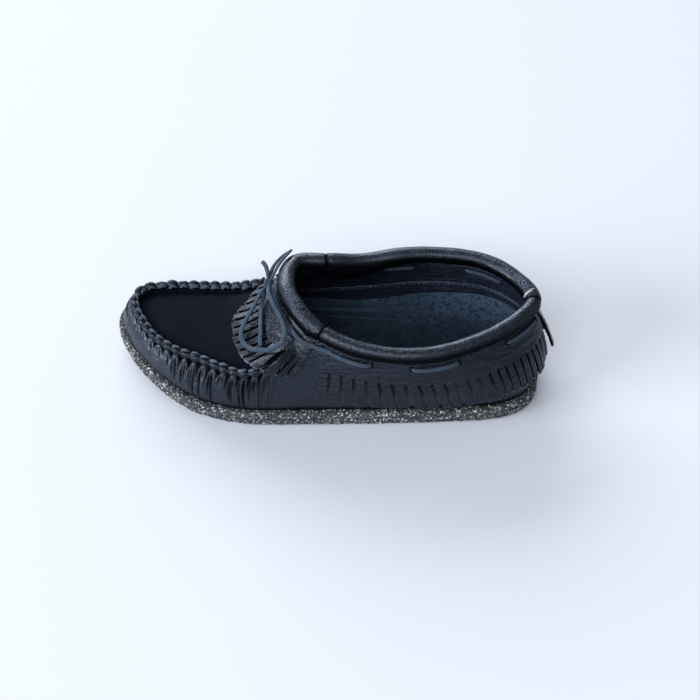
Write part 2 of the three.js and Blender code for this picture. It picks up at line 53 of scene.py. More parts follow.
# Shapes are worked out in millimetres, as in the part's source. +X is the toe, +Y the outer side.
MM = 0.001
LENGTH = 277.0
BALL_WIDTH = 104.0
HEEL_WIDTH = 68.0
SOLE_THICKNESS = 12.0
TOE_SPRING = 7.0
WELT = 3.0
SEAM_HEIGHT = 34.5
COLLAR_HEIGHT = 71.0
INSTEP_HEIGHT = 77.0
LEATHER = 2.0
MARGIN = 12.0
PLUG_CROWN = 0.09
INSOLE = 3.0
THONG = 4.2
ROLL = 10.6
CUFF_TOP = 2.0
CUFF_DROP = 35.0
CUFF_BAND = 0.46
HEEL_FLARE = 8.0
JOINT = 0.3
MARGIN_TOP = SOLE_THICKNESS + JOINT + LEATHER
INSOLE_TOP = MARGIN_TOP + JOINT + INSOLE

# The rim of the sole from the heel round the outer side: shares of LENGTH along and of the width across.
SOLE_EDGE = [
    (-0.5055, -0.015), (-0.489, 0.3), (-0.425, 0.485), (-0.307, 0.525), (-0.145, 0.528),
    (0.018, 0.52), (0.166, 0.505), (0.289, 0.435), (0.375, 0.29), (0.453, 0.08),
    (0.4945, -0.145), (0.484, -0.3), (0.441, -0.41), (0.35, -0.466), (0.235, -0.488),
    (0.072, -0.508), (-0.09, -0.532), (-0.253, -0.532), (-0.404, -0.505), (-0.483, -0.31),
]
# The raised seam round the plug, outer side to inner side: along, across, share of SEAM_HEIGHT.
SEAM = [
    (0.145, 0.433, 1.216), (0.26, 0.313, 1.068), (0.354, 0.188, 1.008), (0.415, 0.024, 0.981),
    (0.451, -0.173, 0.973), (0.439, -0.272, 0.975), (0.393, -0.313, 0.99), (0.31, -0.322, 1.035),
    (0.195, -0.296, 1.19),
]
# The middle of the roll: along, across, share of COLLAR_HEIGHT, or of INSTEP_HEIGHT in rows 5 to 10.
COLLAR = [
    (-0.475, -0.075, 1.0), (-0.439, 0.15, 0.972), (-0.362, 0.37, 0.94), (-0.246, 0.505, 0.915),
    (-0.119, 0.472, 0.93), (-0.014, 0.342, 0.91), (0.036, 0.214, 0.974), (0.071, 0.05, 1.0),
    (0.078, -0.11, 0.994), (0.063, -0.232, 0.974), (-0.002, -0.286, 0.96), (-0.137, -0.42, 1.014),
    (-0.246, -0.523, 1.0), (-0.361, -0.53, 1.0), (-0.441, -0.33, 1.0),
]
# The rows of the roll at its two front corners.
THROAT_OUTER = 5
THROAT_INNER = 10
ROLL_ROWS = len(COLLAR)


def mix(a, b, share):
    return a + (b - a) * share


def ease(a, b, x):
    share = np.clip((x - a) / (b - a), 0.0, 1.0)
    return share * share * (3 - 2 * share)


def matched(a, b):
    """Two arrays of numbers, stretched to one shape."""
    return np.broadcast_arrays(np.asarray(a, float), np.asarray(b, float))


def travel(line):
    """How far along a line of points each of them lies."""
    return np.concatenate([[0.0], np.cumsum(np.linalg.norm(np.diff(line, axis=0), axis=1))])


def unit(v):
    return v / np.maximum(np.linalg.norm(v, axis=-1, keepdims=True), 1e-9)


def chance(number, salt=0.0):
    """A fixed number between 0 and 1 for each whole number, so that every run is the same."""
    return np.abs(np.sin(np.asarray(number) * 12.9898 + salt * 78.233) * 43758.5453) % 1.0


def ripple(points, size, seed=0.0):
    """Smooth noise between -1 and 1 at points in millimetres, with waves of about that size."""
    flat = np.asarray(points, float).reshape(-1, 3) / size + seed
    values = [noise.noise(p) for p in flat.tolist()]
    return np.array(values).reshape(np.shape(points)[:-1])


class Curve:
    """A smooth curve through points that doesn't loop where they crowd, as the part's source draws."""

    def __init__(self, points, closed=False):
        p = np.asarray(points, float)
        self.closed = closed
        self.spans = len(p) if closed else len(p) - 1
        if closed:
            self.p = np.vstack([p[-1:], p, p[:2]])
        else:
            self.p = np.vstack([2 * p[0] - p[1], p, 2 * p[-1] - p[-2]])

    def at(self, u):
        u = np.asarray(u, float)
        place = (u % 1.0 if self.closed else np.clip(u, 0.0, 1.0)) * self.spans
        k = np.minimum(place.astype(int), self.spans - 1)
        w = (place - k)[..., None]
        a, b, c, d = (self.p[k + i] for i in range(4))
        ab, bc, cd = (
            np.maximum(((q - p) ** 2).sum(-1, keepdims=True) ** 0.25, 1e-6)
            for p, q in ((a, b), (b, c), (c, d))
        )
        leave = ((b - a) / ab - (c - a) / (ab + bc) + (c - b) / bc) * bc
        reach = ((c - b) / bc - (d - b) / (bc + cd) + (d - c) / cd) * bc
        third = 3 * (c - b) - 2 * leave - reach
        fourth = 2 * (b - c) + leave + reach
        return b + w * (leave + w * (third + w * fourth))


def width_at(along):
    return mix(HEEL_WIDTH, BALL_WIDTH, np.clip((along + 0.42) / 0.58, 0.0, 1.0))


def spring_at(x):
    return TOE_SPRING * np.maximum(0.0, (x / LENGTH - 0.2) / 0.3) ** 2


def placed(along, across, z):
    return [along * LENGTH, across * float(width_at(along)), z]


def collar_height(row):
    high = THROAT_OUTER <= row <= THROAT_INNER
    return COLLAR[row][2] * (INSTEP_HEIGHT if high else COLLAR_HEIGHT)


EDGE_CURVE = Curve([placed(x, y, 0.0) for x, y in SOLE_EDGE], closed=True)
ROLL_CURVE = Curve(
    [placed(COLLAR[i][0], COLLAR[i][1], collar_height(i)) for i in range(ROLL_ROWS)], closed=True
)


def under_roll(row):
    return ROLL_CURVE.at(np.asarray(row) / ROLL_ROWS) - np.array([0.0, 0.0, ROLL / 2 + JOINT])


SEAM_CURVE = Curve(
    [under_roll(THROAT_OUTER)]
    + [placed(x, y, h * SEAM_HEIGHT) for x, y, h in SEAM]
    + [under_roll(THROAT_INNER)]
)


def rim(t, inset, z):
    """The rim of the sole, moved in by inset, at height z over the sprung floor. t is 0 at the heel,
    a quarter at the outer throat, a half at the toe and three quarters at the inner throat."""
    t = np.asarray(t, float)
    p = EDGE_CURVE.at(t)
    q = unit(EDGE_CURVE.at(t + 0.004) - EDGE_CURVE.at(t - 0.004))
    x = p[..., 0] + q[..., 1] * inset
    y = p[..., 1] - q[..., 0] * inset
    return np.stack([x, y, z + spring_at(x)], axis=-1)


def top_edge(t):
    """The top of the leather wall: under the roll behind the throat, the raised seam before it."""
    k = (np.asarray(t, float) % 1.0) * 20
    seam = SEAM_CURVE.at((k - THROAT_OUTER) / 10)
    roll = under_roll(np.where(k <= THROAT_OUTER, k, k - THROAT_OUTER))
    behind = (k <= THROAT_OUTER) | (k >= 15)
    return np.where(behind[..., None], roll, seam)


def forefoot(t):
    t = np.asarray(t, float) % 1.0
    return ease(0.22, 0.33, t) * (1 - ease(0.67, 0.78, t))


def outward(t):
    way = rim(t, WELT - 1, 0.0) - rim(t, WELT, 0.0)
    way[..., 2] = 0.0
    return unit(way)


def wall(t, s):
    """The outside of the leather wall. s runs from the sole (0) to the top edge (1)."""
    t, s = matched(t, s)
    foot = rim(t, WELT, SOLE_THICKNESS + JOINT)
    top = top_edge(t)
    curl = mix(0.25, 0.88, forefoot(t))
    reach = mix(s, 1 - np.cos(s * math.pi / 2), curl)[..., None]
    rise = mix(s, np.sin(s * math.pi / 2), curl)[..., None]
    share = np.concatenate([reach, reach, rise], axis=-1)
    bulge = mix(3.2, 0.6, forefoot(t)) * np.sin(math.pi * s)
    return mix(foot, top, share) + bulge[..., None] * outward(t)


def normal_of(surface, u, v, du, dv):
    a = surface(u + du, v) - surface(u - du, v)
    b = surface(u, v + dv) - surface(u, v - dv)
    return unit(np.cross(a, b))


def wall_normal(t, s):
    t, s = matched(t, s)
    n = normal_of(wall, t, np.clip(s, 0.04, 0.96), 0.006, 0.03)
    inward = (n * outward(t)).sum(-1, keepdims=True) < 0
    return np.where(inward, -n, n)


def off_wall(t, s, lift):
    return wall(t, s) + wall_normal(t, s) * np.asarray(lift, float)[..., None]


def plug(a, b):
    """The leather over the foot. a runs from under the roll (0) to the toe (1), b from inner to outer."""
    a, b = matched(a, b)
    t = 0.25 + 0.25 * a
    ones = np.ones_like(t)
    outer = off_wall(t, ones, -(LEATHER + JOINT) * ones)
    inner = off_wall(1 - t, ones, -(LEATHER + JOINT) * ones)
    h = ((1 - b) / 2)[..., None]
    ends = mix(under_roll(THROAT_OUTER), under_roll(THROAT_INNER), h)
    arc = under_roll(mix(THROAT_OUTER, THROAT_INNER, h[..., 0])) - ends
    fade = (np.maximum(0.0, 1 - a / 0.5) ** 2)[..., None]
    span = np.linalg.norm(outer - inner, axis=-1)
    crown = PLUG_CROWN * span * ease(-0.05, 0.3, a) * (1 - b * b)
    p = mix(outer, inner, h) + arc * fade
    p[..., 2] += crown
    return p


def plug_normal(a, b):
    n = normal_of(plug, np.clip(a, 0.03, 0.93), b, 0.02, 0.04)
    return np.where(n[..., 2:] < 0, -n, n)


def level_with(a, b):
    """The place round the shoe that lies beside a, on the side that b points to."""
    return np.where(b > 0, 0.25 + 0.25 * a, 0.75 - 0.25 * a)


def skin(a, b):
    """The outside before the throat: the plug, and past b = 1 or -1 the wall beside it."""
    a, b = matched(a, b)
    past = np.abs(b) - 1
    t = level_with(a, b)
    step = (LEATHER + JOINT) * ease(-0.3, 0.0, past)
    inside = plug(a, np.clip(b, -1, 1)) + wall_normal(t, np.ones_like(t)) * step[..., None]
    beside = wall(t, np.clip(1 - past, 0.0, 1.0))
    return np.where((past > 0)[..., None], beside, inside)


def skin_normal(a, b):
    a, b = matched(a, b)
    n = normal_of(skin, np.maximum(0.03, a), b, 0.03, 0.14)
    side = np.where(b > 0, 1.0, -1.0)
    inward = n[..., 2] + n[..., 1] * side * 0.5 < 0
    return np.where(inward[..., None], -n, n)


def on_skin(rows):
    """The points and normals of rows of a, b and the lift over the leather."""
    a, b, lift = np.array(rows, float).T
    n = skin_normal(a, b)
    return skin(a, b) + n * lift[:, None], n


def wall_height(t):
    return (wall(t, np.ones_like(t)) - wall(t, np.zeros_like(t)))[..., 2]


def behind_cuff(t, s):
    """How high up the wall, as a share, the cuff's s hangs."""
    return 1 - (CUFF_TOP + CUFF_DROP * s) / wall_height(t)


def cuff_lift(t, s):
    heel = 1 - ease(0.02, 0.1, 1 - t % 1.0)
    return 0.4 + mix(3.2, HEEL_FLARE, heel) * np.maximum(s, 0.0) ** 1.4


def cuff_point(t, s, extra):
    t, s = matched(t, s)
    return off_wall(t, behind_cuff(t, s), cuff_lift(t, s) + extra)


# Each strip of the kiltie starts under the roll at b and reaches to a on the plug.
KILTIE_TIPS = np.array([
    (-1.0, 0.045), (-0.6, 0.1), (-0.3, 0.145), (0.0, 0.2), (0.35, 0.222), (0.62, 0.2),
    (0.82, 0.15), (1.0, 0.045),
])
KILTIE_START = 0.02
# How much closer the strips stand at the two ends of the kiltie than over the instep.
KILTIE_CROWD = 0.06


def tip_reach(b):
    """How far down the plug the kiltie reaches: a smooth curve through its tips."""
    u = np.linspace(0, 1, 400)
    place = np.minimum(u * (len(KILTIE_TIPS) - 1), len(KILTIE_TIPS) - 1 - 1e-9)
    k = place.astype(int)
    w = (place - k)[:, None]
    p = KILTIE_TIPS[np.clip(k[:, None] + np.arange(-1, 3), 0, len(KILTIE_TIPS) - 1)]
    v0 = (p[:, 2] - p[:, 0]) / 2
    v1 = (p[:, 3] - p[:, 1]) / 2
    gap = p[:, 1] - p[:, 2]
    line = (2 * gap + v0 + v1) * w**3 + (-3 * gap - 2 * v0 - v1) * w**2 + v0 * w + p[:, 1]
    return np.interp(b, line[:, 0], line[:, 1])


def kiltie_point(b, s, extra):
    b, s = matched(b, s)
    a = mix(KILTIE_START, tip_reach(b), s)
    spread = b * (1 + 0.5 * s * b * b)
    over = np.exp(-(((np.abs(spread) - 1) / 0.22) ** 2)) * ease(0.06, 0.115, a)
    start = 1 - ease(0, 0.3, s)
    lift = 0.9 + over * (THONG + 2.4) + start * 0.6 + extra
    return skin(a, spread) + skin_normal(a, spread) * lift[..., None]


def grid_faces(rows, columns, closed=False, start=0):
    """The four-sided faces of a grid of rows by columns of cells, closed round if asked."""
    wide = columns if closed else columns + 1
    i, j = np.meshgrid(np.arange(rows), np.arange(columns), indexing="ij")
    right = (j + 1) % wide if closed else j + 1
    corners = [i * wide + j, (i + 1) * wide + j, (i + 1) * wide + right, i * wide + right]
    return (start + np.stack(corners, axis=-1)).reshape(-1, 4)


def put_in_scene(name, data):
    thing = bpy.data.objects.new(name, data)
    bpy.context.scene.collection.objects.link(thing)
    return thing


def make_piece(name, points, faces, finishes, nodes=(), marks=None, polish=None):
    """A mesh piece from points in millimetres, with doubled points merged and faces turned outwards.
    A gloss mask, from 0 to 1 at each point and low where painted shade dulls the gloss, is kept for the
    finishes that follow it."""
    mesh = bpy.data.meshes.new(name)
    mesh.from_pydata((np.asarray(points, float) * MM).tolist(), [], [list(map(int, f)) for f in faces])
    for finish in finishes:
        mesh.materials.append(finish)
    if marks is not None:
        mesh.polygons.foreach_set("material_index", np.asarray(marks, dtype=np.int32))
    if polish is not None:
        values = mesh.attributes.new("polish", "FLOAT", "POINT").data
        values.foreach_set("value", np.asarray(polish, dtype=np.float32).reshape(-1))
    form = bmesh.new()
    form.from_mesh(mesh)
    bmesh.ops.remove_doubles(form, verts=form.verts, dist=2e-6)
    bmesh.ops.recalc_face_normals(form, faces=form.faces)
    form.to_mesh(mesh)
    form.free()
    mesh.polygons.foreach_set("use_smooth", [True] * len(mesh.polygons))
    piece = put_in_scene(name, mesh)
    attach(piece, "root")
    if nodes:
        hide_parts(*nodes)
    return piece


def joined(parts):
    """Points and faces of several bodies as one."""
    points, faces, start = [], [], 0
    for p, f in parts:
        points.append(p)
        faces.extend((np.asarray(f) + start).tolist())
        start += len(p)
    return np.vstack(points), faces


def tube(centres, across, up, section):
    """A closed tube. section(i) gives ring i as pairs of distances across and up, and the ends close."""
    rings = []
    for i in range(len(centres)):
        pair = section(i)
        rings.append(centres[i] + pair[:, :1] * across[i] + pair[:, 1:] * up[i])
    first, last = centres[0], centres[-1]
    sides = len(rings[0])
    points = np.vstack([np.tile(first, (sides, 1)), *rings, np.tile(last, (sides, 1))])
    return points, grid_faces(len(rings) + 1, sides, closed=True)


def ribbon(places, normals, width, thickness, steps, sides=12, tip=0.5):
    """A flat suede lace along a smooth curve: its points, faces and centre line. It narrows over the
    length tip at both ends."""
    u = np.linspace(0, 1, steps + 1)
    width = np.broadcast_to(width, steps + 1)
    line = Curve(places).at(u)
    lean = Curve(normals).at(u)
    along = unit(np.gradient(line, axis=0))
    across = unit(np.cross(along, lean))
    up = unit(np.cross(across, along))
    angle = np.linspace(0, 2 * math.pi, sides, endpoint=False)
    round_x = np.sign(np.cos(angle)) * np.abs(np.cos(angle)) ** 0.5
    round_y = np.sign(np.sin(angle)) * np.abs(np.sin(angle)) ** 0.5
    reach = travel(line)
    from_end = np.minimum(reach, reach[-1] - reach)
    full = np.sqrt(np.clip(from_end / tip, 0.05, 1.0)) if tip else np.ones(len(reach))
    wave = 1 + 0.05 * ripple(line, 4.0, 3.1)

    def section(i):
        x = round_x * width[i] / 2 * full[i] * wave[i]
        y = round_y * thickness / 2 * full[i]
        return np.stack([x, y], axis=1)

    points, faces = tube(line, across, up, section)
    return points, faces, line


class Finish:
    """A procedural finish: a Principled shader and the nodes that feed it."""

    def __init__(self, name, colour, roughness, **fixed):
        self.material = bpy.data.materials.new(name)
        self.material.use_nodes = True
        self.material.diffuse_color = (*colour, 1.0)
        self.tree = self.material.node_tree
        self.shader = self.tree.nodes["Principled BSDF"]
        self.shader.inputs["Base Color"].default_value = (*colour, 1.0)
        self.shader.inputs["Roughness"].default_value = roughness
        for socket, value in fixed.items():
            self.shader.inputs[socket.replace("_", " ")].default_value = value
        self.place = self.add("ShaderNodeTexCoord").outputs["Object"]

    def add(self, kind, inputs=None, **settings):
        node = self.tree.nodes.new(kind)
        for key, value in settings.items():
            setattr(node, key, value)
        for key, value in (inputs or {}).items():
            if isinstance(value, bpy.types.NodeSocket):
                self.tree.links.new(value, node.inputs[key])
            else:
                node.inputs[key].default_value = value
        return node

    def noise(self, size, detail=3.0, rough=0.5, place=None):
        """Smooth noise with waves of about size millimetres."""
        inputs = {"Vector": place or self.place, "Scale": 1 / (size * MM), "Detail": detail,
                  "Roughness": rough}
        return self.add("ShaderNodeTexNoise", inputs).outputs["Fac"]

    def cells(self, size, place=None, feature="F1"):
        """Cells of about size millimetres, as the pebbles of grained leather or crumbs of rubber."""
        inputs = {"Vector": place or self.place, "Scale": 1 / (size * MM)}
        return self.add("ShaderNodeTexVoronoi", inputs, feature=feature).outputs

    def spread(self, value, low, high, to_low=0.0, to_high=1.0):
        inputs = {"Value": value, "From Min": low, "From Max": high, "To Min": to_low, "To Max": to_high}
        return self.add("ShaderNodeMapRange", inputs).outputs["Result"]

    def maths(self, operation, a, b):
        return self.add("ShaderNodeMath", {0: a, 1: b}, operation=operation).outputs[0]

    def layered(self, *layers):
        """The sum of several values, each times its own share."""
        total, *others = [self.maths("MULTIPLY", value, share) for value, share in layers]
        for other in others:
            total = self.maths("ADD", total, other)
        return total

    def blend(self, share, a, b):
        node = self.add("ShaderNodeMix", data_type="RGBA")
        for key, value in (("Factor", share), ("A", a), ("B", b)):
            socket = next(s for s in node.inputs if s.name == key and s.type in ("RGBA", "VALUE")
                          and (s.type == "VALUE") == (key == "Factor"))
            if isinstance(value, bpy.types.NodeSocket):
                self.tree.links.new(value, socket)
            else:
                socket.default_value = value if key == "Factor" else (*value, 1.0)
        return next(s for s in node.outputs if s.type == "RGBA")

    def feed(self, socket, value):
        self.tree.links.new(value, self.shader.inputs[socket])

    def relief(self, height, depth, strength=1.0):
        """Bump of a height between 0 and 1 that stands depth millimetres proud."""
        bump = self.add("ShaderNodeBump", {"Height": height, "Distance": depth * MM, "Strength": strength})
        self.tree.links.new(bump.outputs["Normal"], self.shader.inputs["Normal"])


# The blue of the windows that the leather's gloss takes on.
COOL_GLOSS = (0.68, 0.8, 1.0, 1.0)


def shade(colour, times):
    return tuple(min(1.0, c * times) for c in colour)


def grained_leather(name, colour, grain, roughness, depth=0.5, coat=0.15, wrinkle=1.0, dulled_in_shade=False):
    """Soft full-grain leather: pebbles, fine creases and a low gloss that changes from place to place.
    Where it is dulled in shade, the gloss follows the mesh's gloss mask at each point: painted shade that
    lowers the gloss where shade falls."""
    f = Finish(name, colour, roughness, Coat_Weight=coat, Coat_Roughness=0.28, Coat_Tint=COOL_GLOSS,
               Specular_IOR_Level=0.3 + coat, Specular_Tint=COOL_GLOSS)
    wander = f.add("ShaderNodeTexNoise", {"Vector": f.place, "Scale": 1 / (6 * MM), "Detail": 2.0})
    sway = f.add("ShaderNodeVectorMath", {0: wander.outputs["Color"], "Scale": 1.2 * MM}, operation="SCALE")
    warped = f.add("ShaderNodeVectorMath", {0: f.place, 1: sway.outputs[0]}, operation="ADD").outputs[0]
    pebble = f.spread(f.cells(grain, warped)["Distance"], 0.15, 0.75, 1.0, 0.0)
    crack = f.spread(f.cells(grain * 1.9, warped, "DISTANCE_TO_EDGE")["Distance"], 0.0, 0.14)
    long = f.add("ShaderNodeMapping", {"Vector": warped, "Scale": (0.3, 0.3, 1.45)}).outputs[0]
    crease = f.spread(f.noise(3.2, 3.0, 0.6, long), 0.34, 0.64)
    fine = f.noise(0.6, 4.0, 0.6)
    cracked = 0.25 * min(wrinkle, 1.0)
    height = f.layered((pebble, 0.3), (crack, cracked), (crease, 0.5 * wrinkle), (fine, 0.14))
    f.relief(height, depth, 0.9)
    tone = f.blend(f.spread(f.noise(9.0, 3.0), 0.3, 0.7), shade(colour, 0.7), shade(colour, 1.3))
    worn = f.blend(f.spread(pebble, 0.55, 1.0), tone, shade(colour, 1.6))
    f.feed("Base Color", f.blend(f.spread(crack, 0.0, 0.6, 0.55, 0.0), worn, shade(colour, 0.45)))
    f.feed("Roughness", f.spread(f.noise(14.0, 4.0), 0.3, 0.7, roughness - 0.07, roughness + 0.12))
    # Painted shade: where the mesh's gloss mask is low, the specular and the coat are dulled.
    if dulled_in_shade:
        polish = f.add("ShaderNodeAttribute", attribute_name="polish").outputs["Fac"]
        f.feed("Specular IOR Level", f.spread(polish, 0.0, 1.0, 0.06, 0.85))
        f.feed("Coat Weight", f.spread(polish, 0.0, 1.0, 0.0, coat))
    return f.material


def smooth_leather(name, colour, roughness):
    """The plug's flat, fine-grained leather, hardly glossy."""
    f = Finish(name, colour, roughness, Specular_IOR_Level=0.04, Specular_Tint=COOL_GLOSS)
    pore = f.spread(f.cells(0.55)["Distance"], 0.1, 0.6)
    fine = f.noise(0.3, 5.0, 0.6)
    f.relief(f.layered((pore, 0.6), (fine, 0.4)), 0.05, 0.6)
    patches = f.spread(f.noise(30.0, 4.0), 0.3, 0.7)
    f.feed("Base Color", f.blend(patches, shade(colour, 0.85), shade(colour, 1.15)))
    f.feed("Roughness", f.spread(f.noise(20.0, 5.0), 0.3, 0.7, roughness - 0.05, roughness + 0.06))
    return f.material


def suede(name, colour, mottle, nap=0.14, contrast=1.0, rise=None, spots=None, lines=()):
    """Suede or a raw flesh side: a short nap that is brushed lighter and darker in patches. With rise
    it grows paler from the first to the second of those heights in millimetres, painted light for the
    brighter light higher up the wall. Lines are the places across the shoe of ridges painted pale along
    their tops, partly rubbed nap and partly painted highlight, with painted shade on both flanks; spots
    is the size of dark worn spots."""
    f = Finish(name, colour, 0.95, Specular_IOR_Level=0.2, Sheen_Weight=0.35, Sheen_Roughness=0.5,
               Sheen_Tint=(*shade(colour, 4.0), 1.0))
    patches = f.spread(f.noise(mottle, 5.0, 0.65), 0.3, 0.7)
    flecks = f.spread(f.noise(0.9, 4.0, 0.7), 0.32, 0.68)
    fibre = f.noise(0.25, 3.0, 0.7)
    low, high = 1 - 0.3 * contrast, 1 + 0.4 * contrast
    base = f.blend(patches, shade(colour, low), shade(colour, high))
    grit = f.spread(f.noise(1.9, 2.0, 0.5), 0.4, 0.6)
    base = f.blend(grit, f.blend(0.4 * contrast, base, shade(colour, 0.45)), base)
    axes = f.add("ShaderNodeSeparateXYZ", {"Vector": f.place}).outputs
    # Painted light: the suede is painted paler higher up, where more light falls on the inside of the wall.
    if rise:
        base = f.blend(f.spread(axes["Z"], rise[0] * MM, rise[1] * MM), base, shade(colour, 2.1))
    dots = f.spread(f.cells(2.6)["Distance"], 0.12, 0.3, 0.55 * contrast, 0.0)
    base = f.blend(dots, base, shade(colour, 0.35))
    if spots:
        worn = f.spread(f.noise(spots, 1.0, 0.5), 0.36, 0.45, 0.75, 0.0)
        base = f.blend(worn, base, shade(colour, 0.4))
    # Painted shade in a dark band on each flank of a ridge, and a pale line along its top, partly rubbed
    # nap and partly painted highlight.
    for line in lines:
        away = f.maths("ABSOLUTE", f.maths("SUBTRACT", axes["Y"], line * MM), 0.0)
        front = f.spread(axes["X"], RIDGE_START * MM, RIDGE_FULL * MM)
        beside = f.maths("MULTIPLY", front, f.spread(away, 1.2 * MM, 2.6 * MM, 0.5, 0.0))
        along = f.maths("MULTIPLY", front, f.spread(away, 0.4 * MM, 1.3 * MM, 0.75, 0.0))
        base = f.blend(along, f.blend(beside, base, shade(colour, 0.4)), shade(colour, 1.9))
    f.feed("Base Color", f.blend(f.maths("MULTIPLY", flecks, 0.6), base, shade(colour, 0.62)))
    f.relief(f.layered((flecks, 0.5), (fibre, 0.5)), nap, 0.9)
    return f.material


# The colours of the coloured crumbs, and the share of them below each.
COLOURED_CRUMBS = (
    (0.0, (0.62, 0.62, 0.6)), (0.6, (0.4, 0.36, 0.26)), (0.74, (0.4, 0.33, 0.27)),
    (0.88, (0.3, 0.1, 0.08)), (0.94, (0.12, 0.18, 0.3)),
)


def crumb_rubber(name, colour, dust):
    """Pressed rubber crumb: rough dark granules with a few coloured ones."""
    f = Finish(name, colour, 0.9, Specular_IOR_Level=0.35)
    big, small = f.cells(1.7), f.cells(1.0)
    pick = f.add("ShaderNodeSeparateColor", {"Color": small["Color"]}).outputs
    grey = f.blend(pick[1], shade(colour, 0.5), shade(colour, 1.7))
    pale = f.blend(f.spread(pick[0], 0.76, 0.86), grey, dust)
    hue = f.add("ShaderNodeValToRGB", {"Fac": pick[2]})
    ramp = hue.color_ramp
    ramp.interpolation = "CONSTANT"
    ramp.elements.remove(ramp.elements[1])
    for position, fleck in COLOURED_CRUMBS:
        spot = ramp.elements[0] if position == 0.0 else ramp.elements.new(position)
        spot.color = (*fleck, 1.0)
    f.feed("Base Color", f.blend(f.spread(pick[0], 0.965, 0.97), pale, hue.outputs["Color"]))
    lumps, grit = (f.spread(cell["Distance"], 0.1, 0.8, 1.0, 0.0) for cell in (big, small))
    f.relief(f.layered((lumps, 0.6), (grit, 0.4)), 0.5)
    return f.material


def cotton_thread(name, colour):
    f = Finish(name, colour, 0.8, Specular_IOR_Level=0.3)
    twist = f.noise(0.35, 2.0)
    f.feed("Base Color", f.blend(twist, shade(colour, 0.7), shade(colour, 1.15)))
    f.relief(twist, 0.08)
    return f.material


def settings():
    return Look(bpy.context.scene.moccasin)


FINISHES = {}


def finish(kind):
    """The shared finish of that kind, made when it is first asked for."""
    look = settings()
    black, grain = look.leather, look.grain
    makers = {
        "leather": lambda: grained_leather("black grained leather", black, grain, 0.32, 0.4),
        "wall": lambda: grained_leather("gathered leather", shade(black, 1.2), grain, 0.32, 0.35,
                                        coat=0.4, wrinkle=1.6, dulled_in_shade=True),
        "flap": lambda: grained_leather("fringed flap leather", shade(black, 1.3), grain, 0.36, 0.5,
                                        coat=0.25, wrinkle=3.0),
        "collar": lambda: grained_leather("padded collar leather", shade(black, 0.6), 0.75 * grain, 0.3,
                                          0.75, coat=0.45, wrinkle=0.3, dulled_in_shade=True),
        # Painted light: the inner leather is the black leather made six times paler, to make up for the dim
        # light inside the shoe.
        "lining": lambda: grained_leather("inner leather", shade(black, 6.0), grain, 0.4, 0.5,
                                          coat=0.2, wrinkle=2.5),
        "plug": lambda: smooth_leather("smooth plug leather", look.plug, 0.75),
        "edge": lambda: suede("raw cut edge", look.edge, 3.0, 0.06, 0.6),
        # Painted shade: the sides of the slits and the rims round the lace's slits are darker than the
        # leather, for the shade in those gaps.
        "cut": lambda: suede("cut side of a slit", shade(black, 0.8), 3.0, 0.06, 0.6),
        "lace": lambda: suede("suede lace", look.lace, 8.0, 0.08, 0.8),
        "thong": lambda: suede("seam thong", look.thong, 5.0, 0.05, 0.6),
        "insole": lambda: suede("insole suede", look.insole, 12.0, 0.25, 1.8, rise=(19.0, 34.0),
                                spots=2.8, lines=RIDGES),
        "rubber": lambda: crumb_rubber("crumb rubber", look.rubber, look.dust),
        "thread": lambda: cotton_thread("pale thread", look.thread),
    }
    if kind not in FINISHES:
        FINISHES[kind] = makers[kind]()
    return FINISHES[kind]


# The lace's bow, as in the part's source: a, b and the lift over the leather of each point.
KNOT_PLACE = (0.053, -0.21, 7.1)
KNOT_RADII = np.array([0.95, 1.05, 0.8]) * 3.5
NEAR_LOOP = [
    (0.074, -0.07, 8.5), (0.102, 0.06, 7.6), (0.144, 0.22, 6.8), (0.172, 0.37, 6.4),
    (0.176, 0.53, 6.4), (0.158, 0.68, 7.6), (0.134, 0.78, 8.6), (0.108, 0.85, 8.6),
    (0.078, 0.83, 8.0), (0.053, 0.7, 7.4), (0.04, 0.5, 7.4), (0.038, 0.28, 7.8),
    (0.044, 0.03, 8.4),
]
FAR_LOOP = [
    (0.046, -0.29, 8.9), (0.038, -0.4, 10.8), (0.025, -0.49, 12.4), (0.009, -0.56, 13.5),
    (-0.048, -0.53, 14.4), (-0.096, -0.36, 15.6), (-0.058, -0.29, 14.5), (0.008, -0.27, 11.5),
    (0.029, -0.23, 9.4),
]
SHORT_TAIL = [
    (0.045, -0.27, 10.5), (0.042, -0.33, 13), (0.045, -0.4, 15.5), (0.057, -0.48, 17.8),
]
LONG_TAIL = [(0.086, 0.05, 4.8), (0.094, 0.2, 4.5), (0.115, 0.47, 4.5), (0.133, 0.68, 5.2)]
FRONT_STITCH = [
    (0.036, 0.08, 5.2), (0.036, 0.24, 4.6), (0.037, 0.45, 4.4), (0.038, 0.68, 4.4), (0.038, 0.9, 4.6),
]


# Each turn of lace round the knot: how far it reaches to the side, to the front and up, how far it
# winds along, and the angles that it starts and ends at.
KNOT_WRAPS = (
    (0.0, 2.7, 2.1, 0.5, -0.9, 4.0), (2.5, 1.1, 2.8, 0.4, -0.4, 3.5),
    (2.9, -1.3, 1.7, 0.3, -0.5, 3.6), (3.3, 0.0, 1.3, 0.2, -0.2, 3.3),
)
BOW_STEPS = 260


def knot_centre():
    points, normals = on_skin([KNOT_PLACE])
    return points[0], normals[0]


def at_knot(place):
    """Where a lace that comes from a place meets the face of the knot."""
    centre, _ = knot_centre()
    way = unit(place - centre)
    return centre + way * (1 / np.linalg.norm(way / KNOT_RADII) - 0.8)


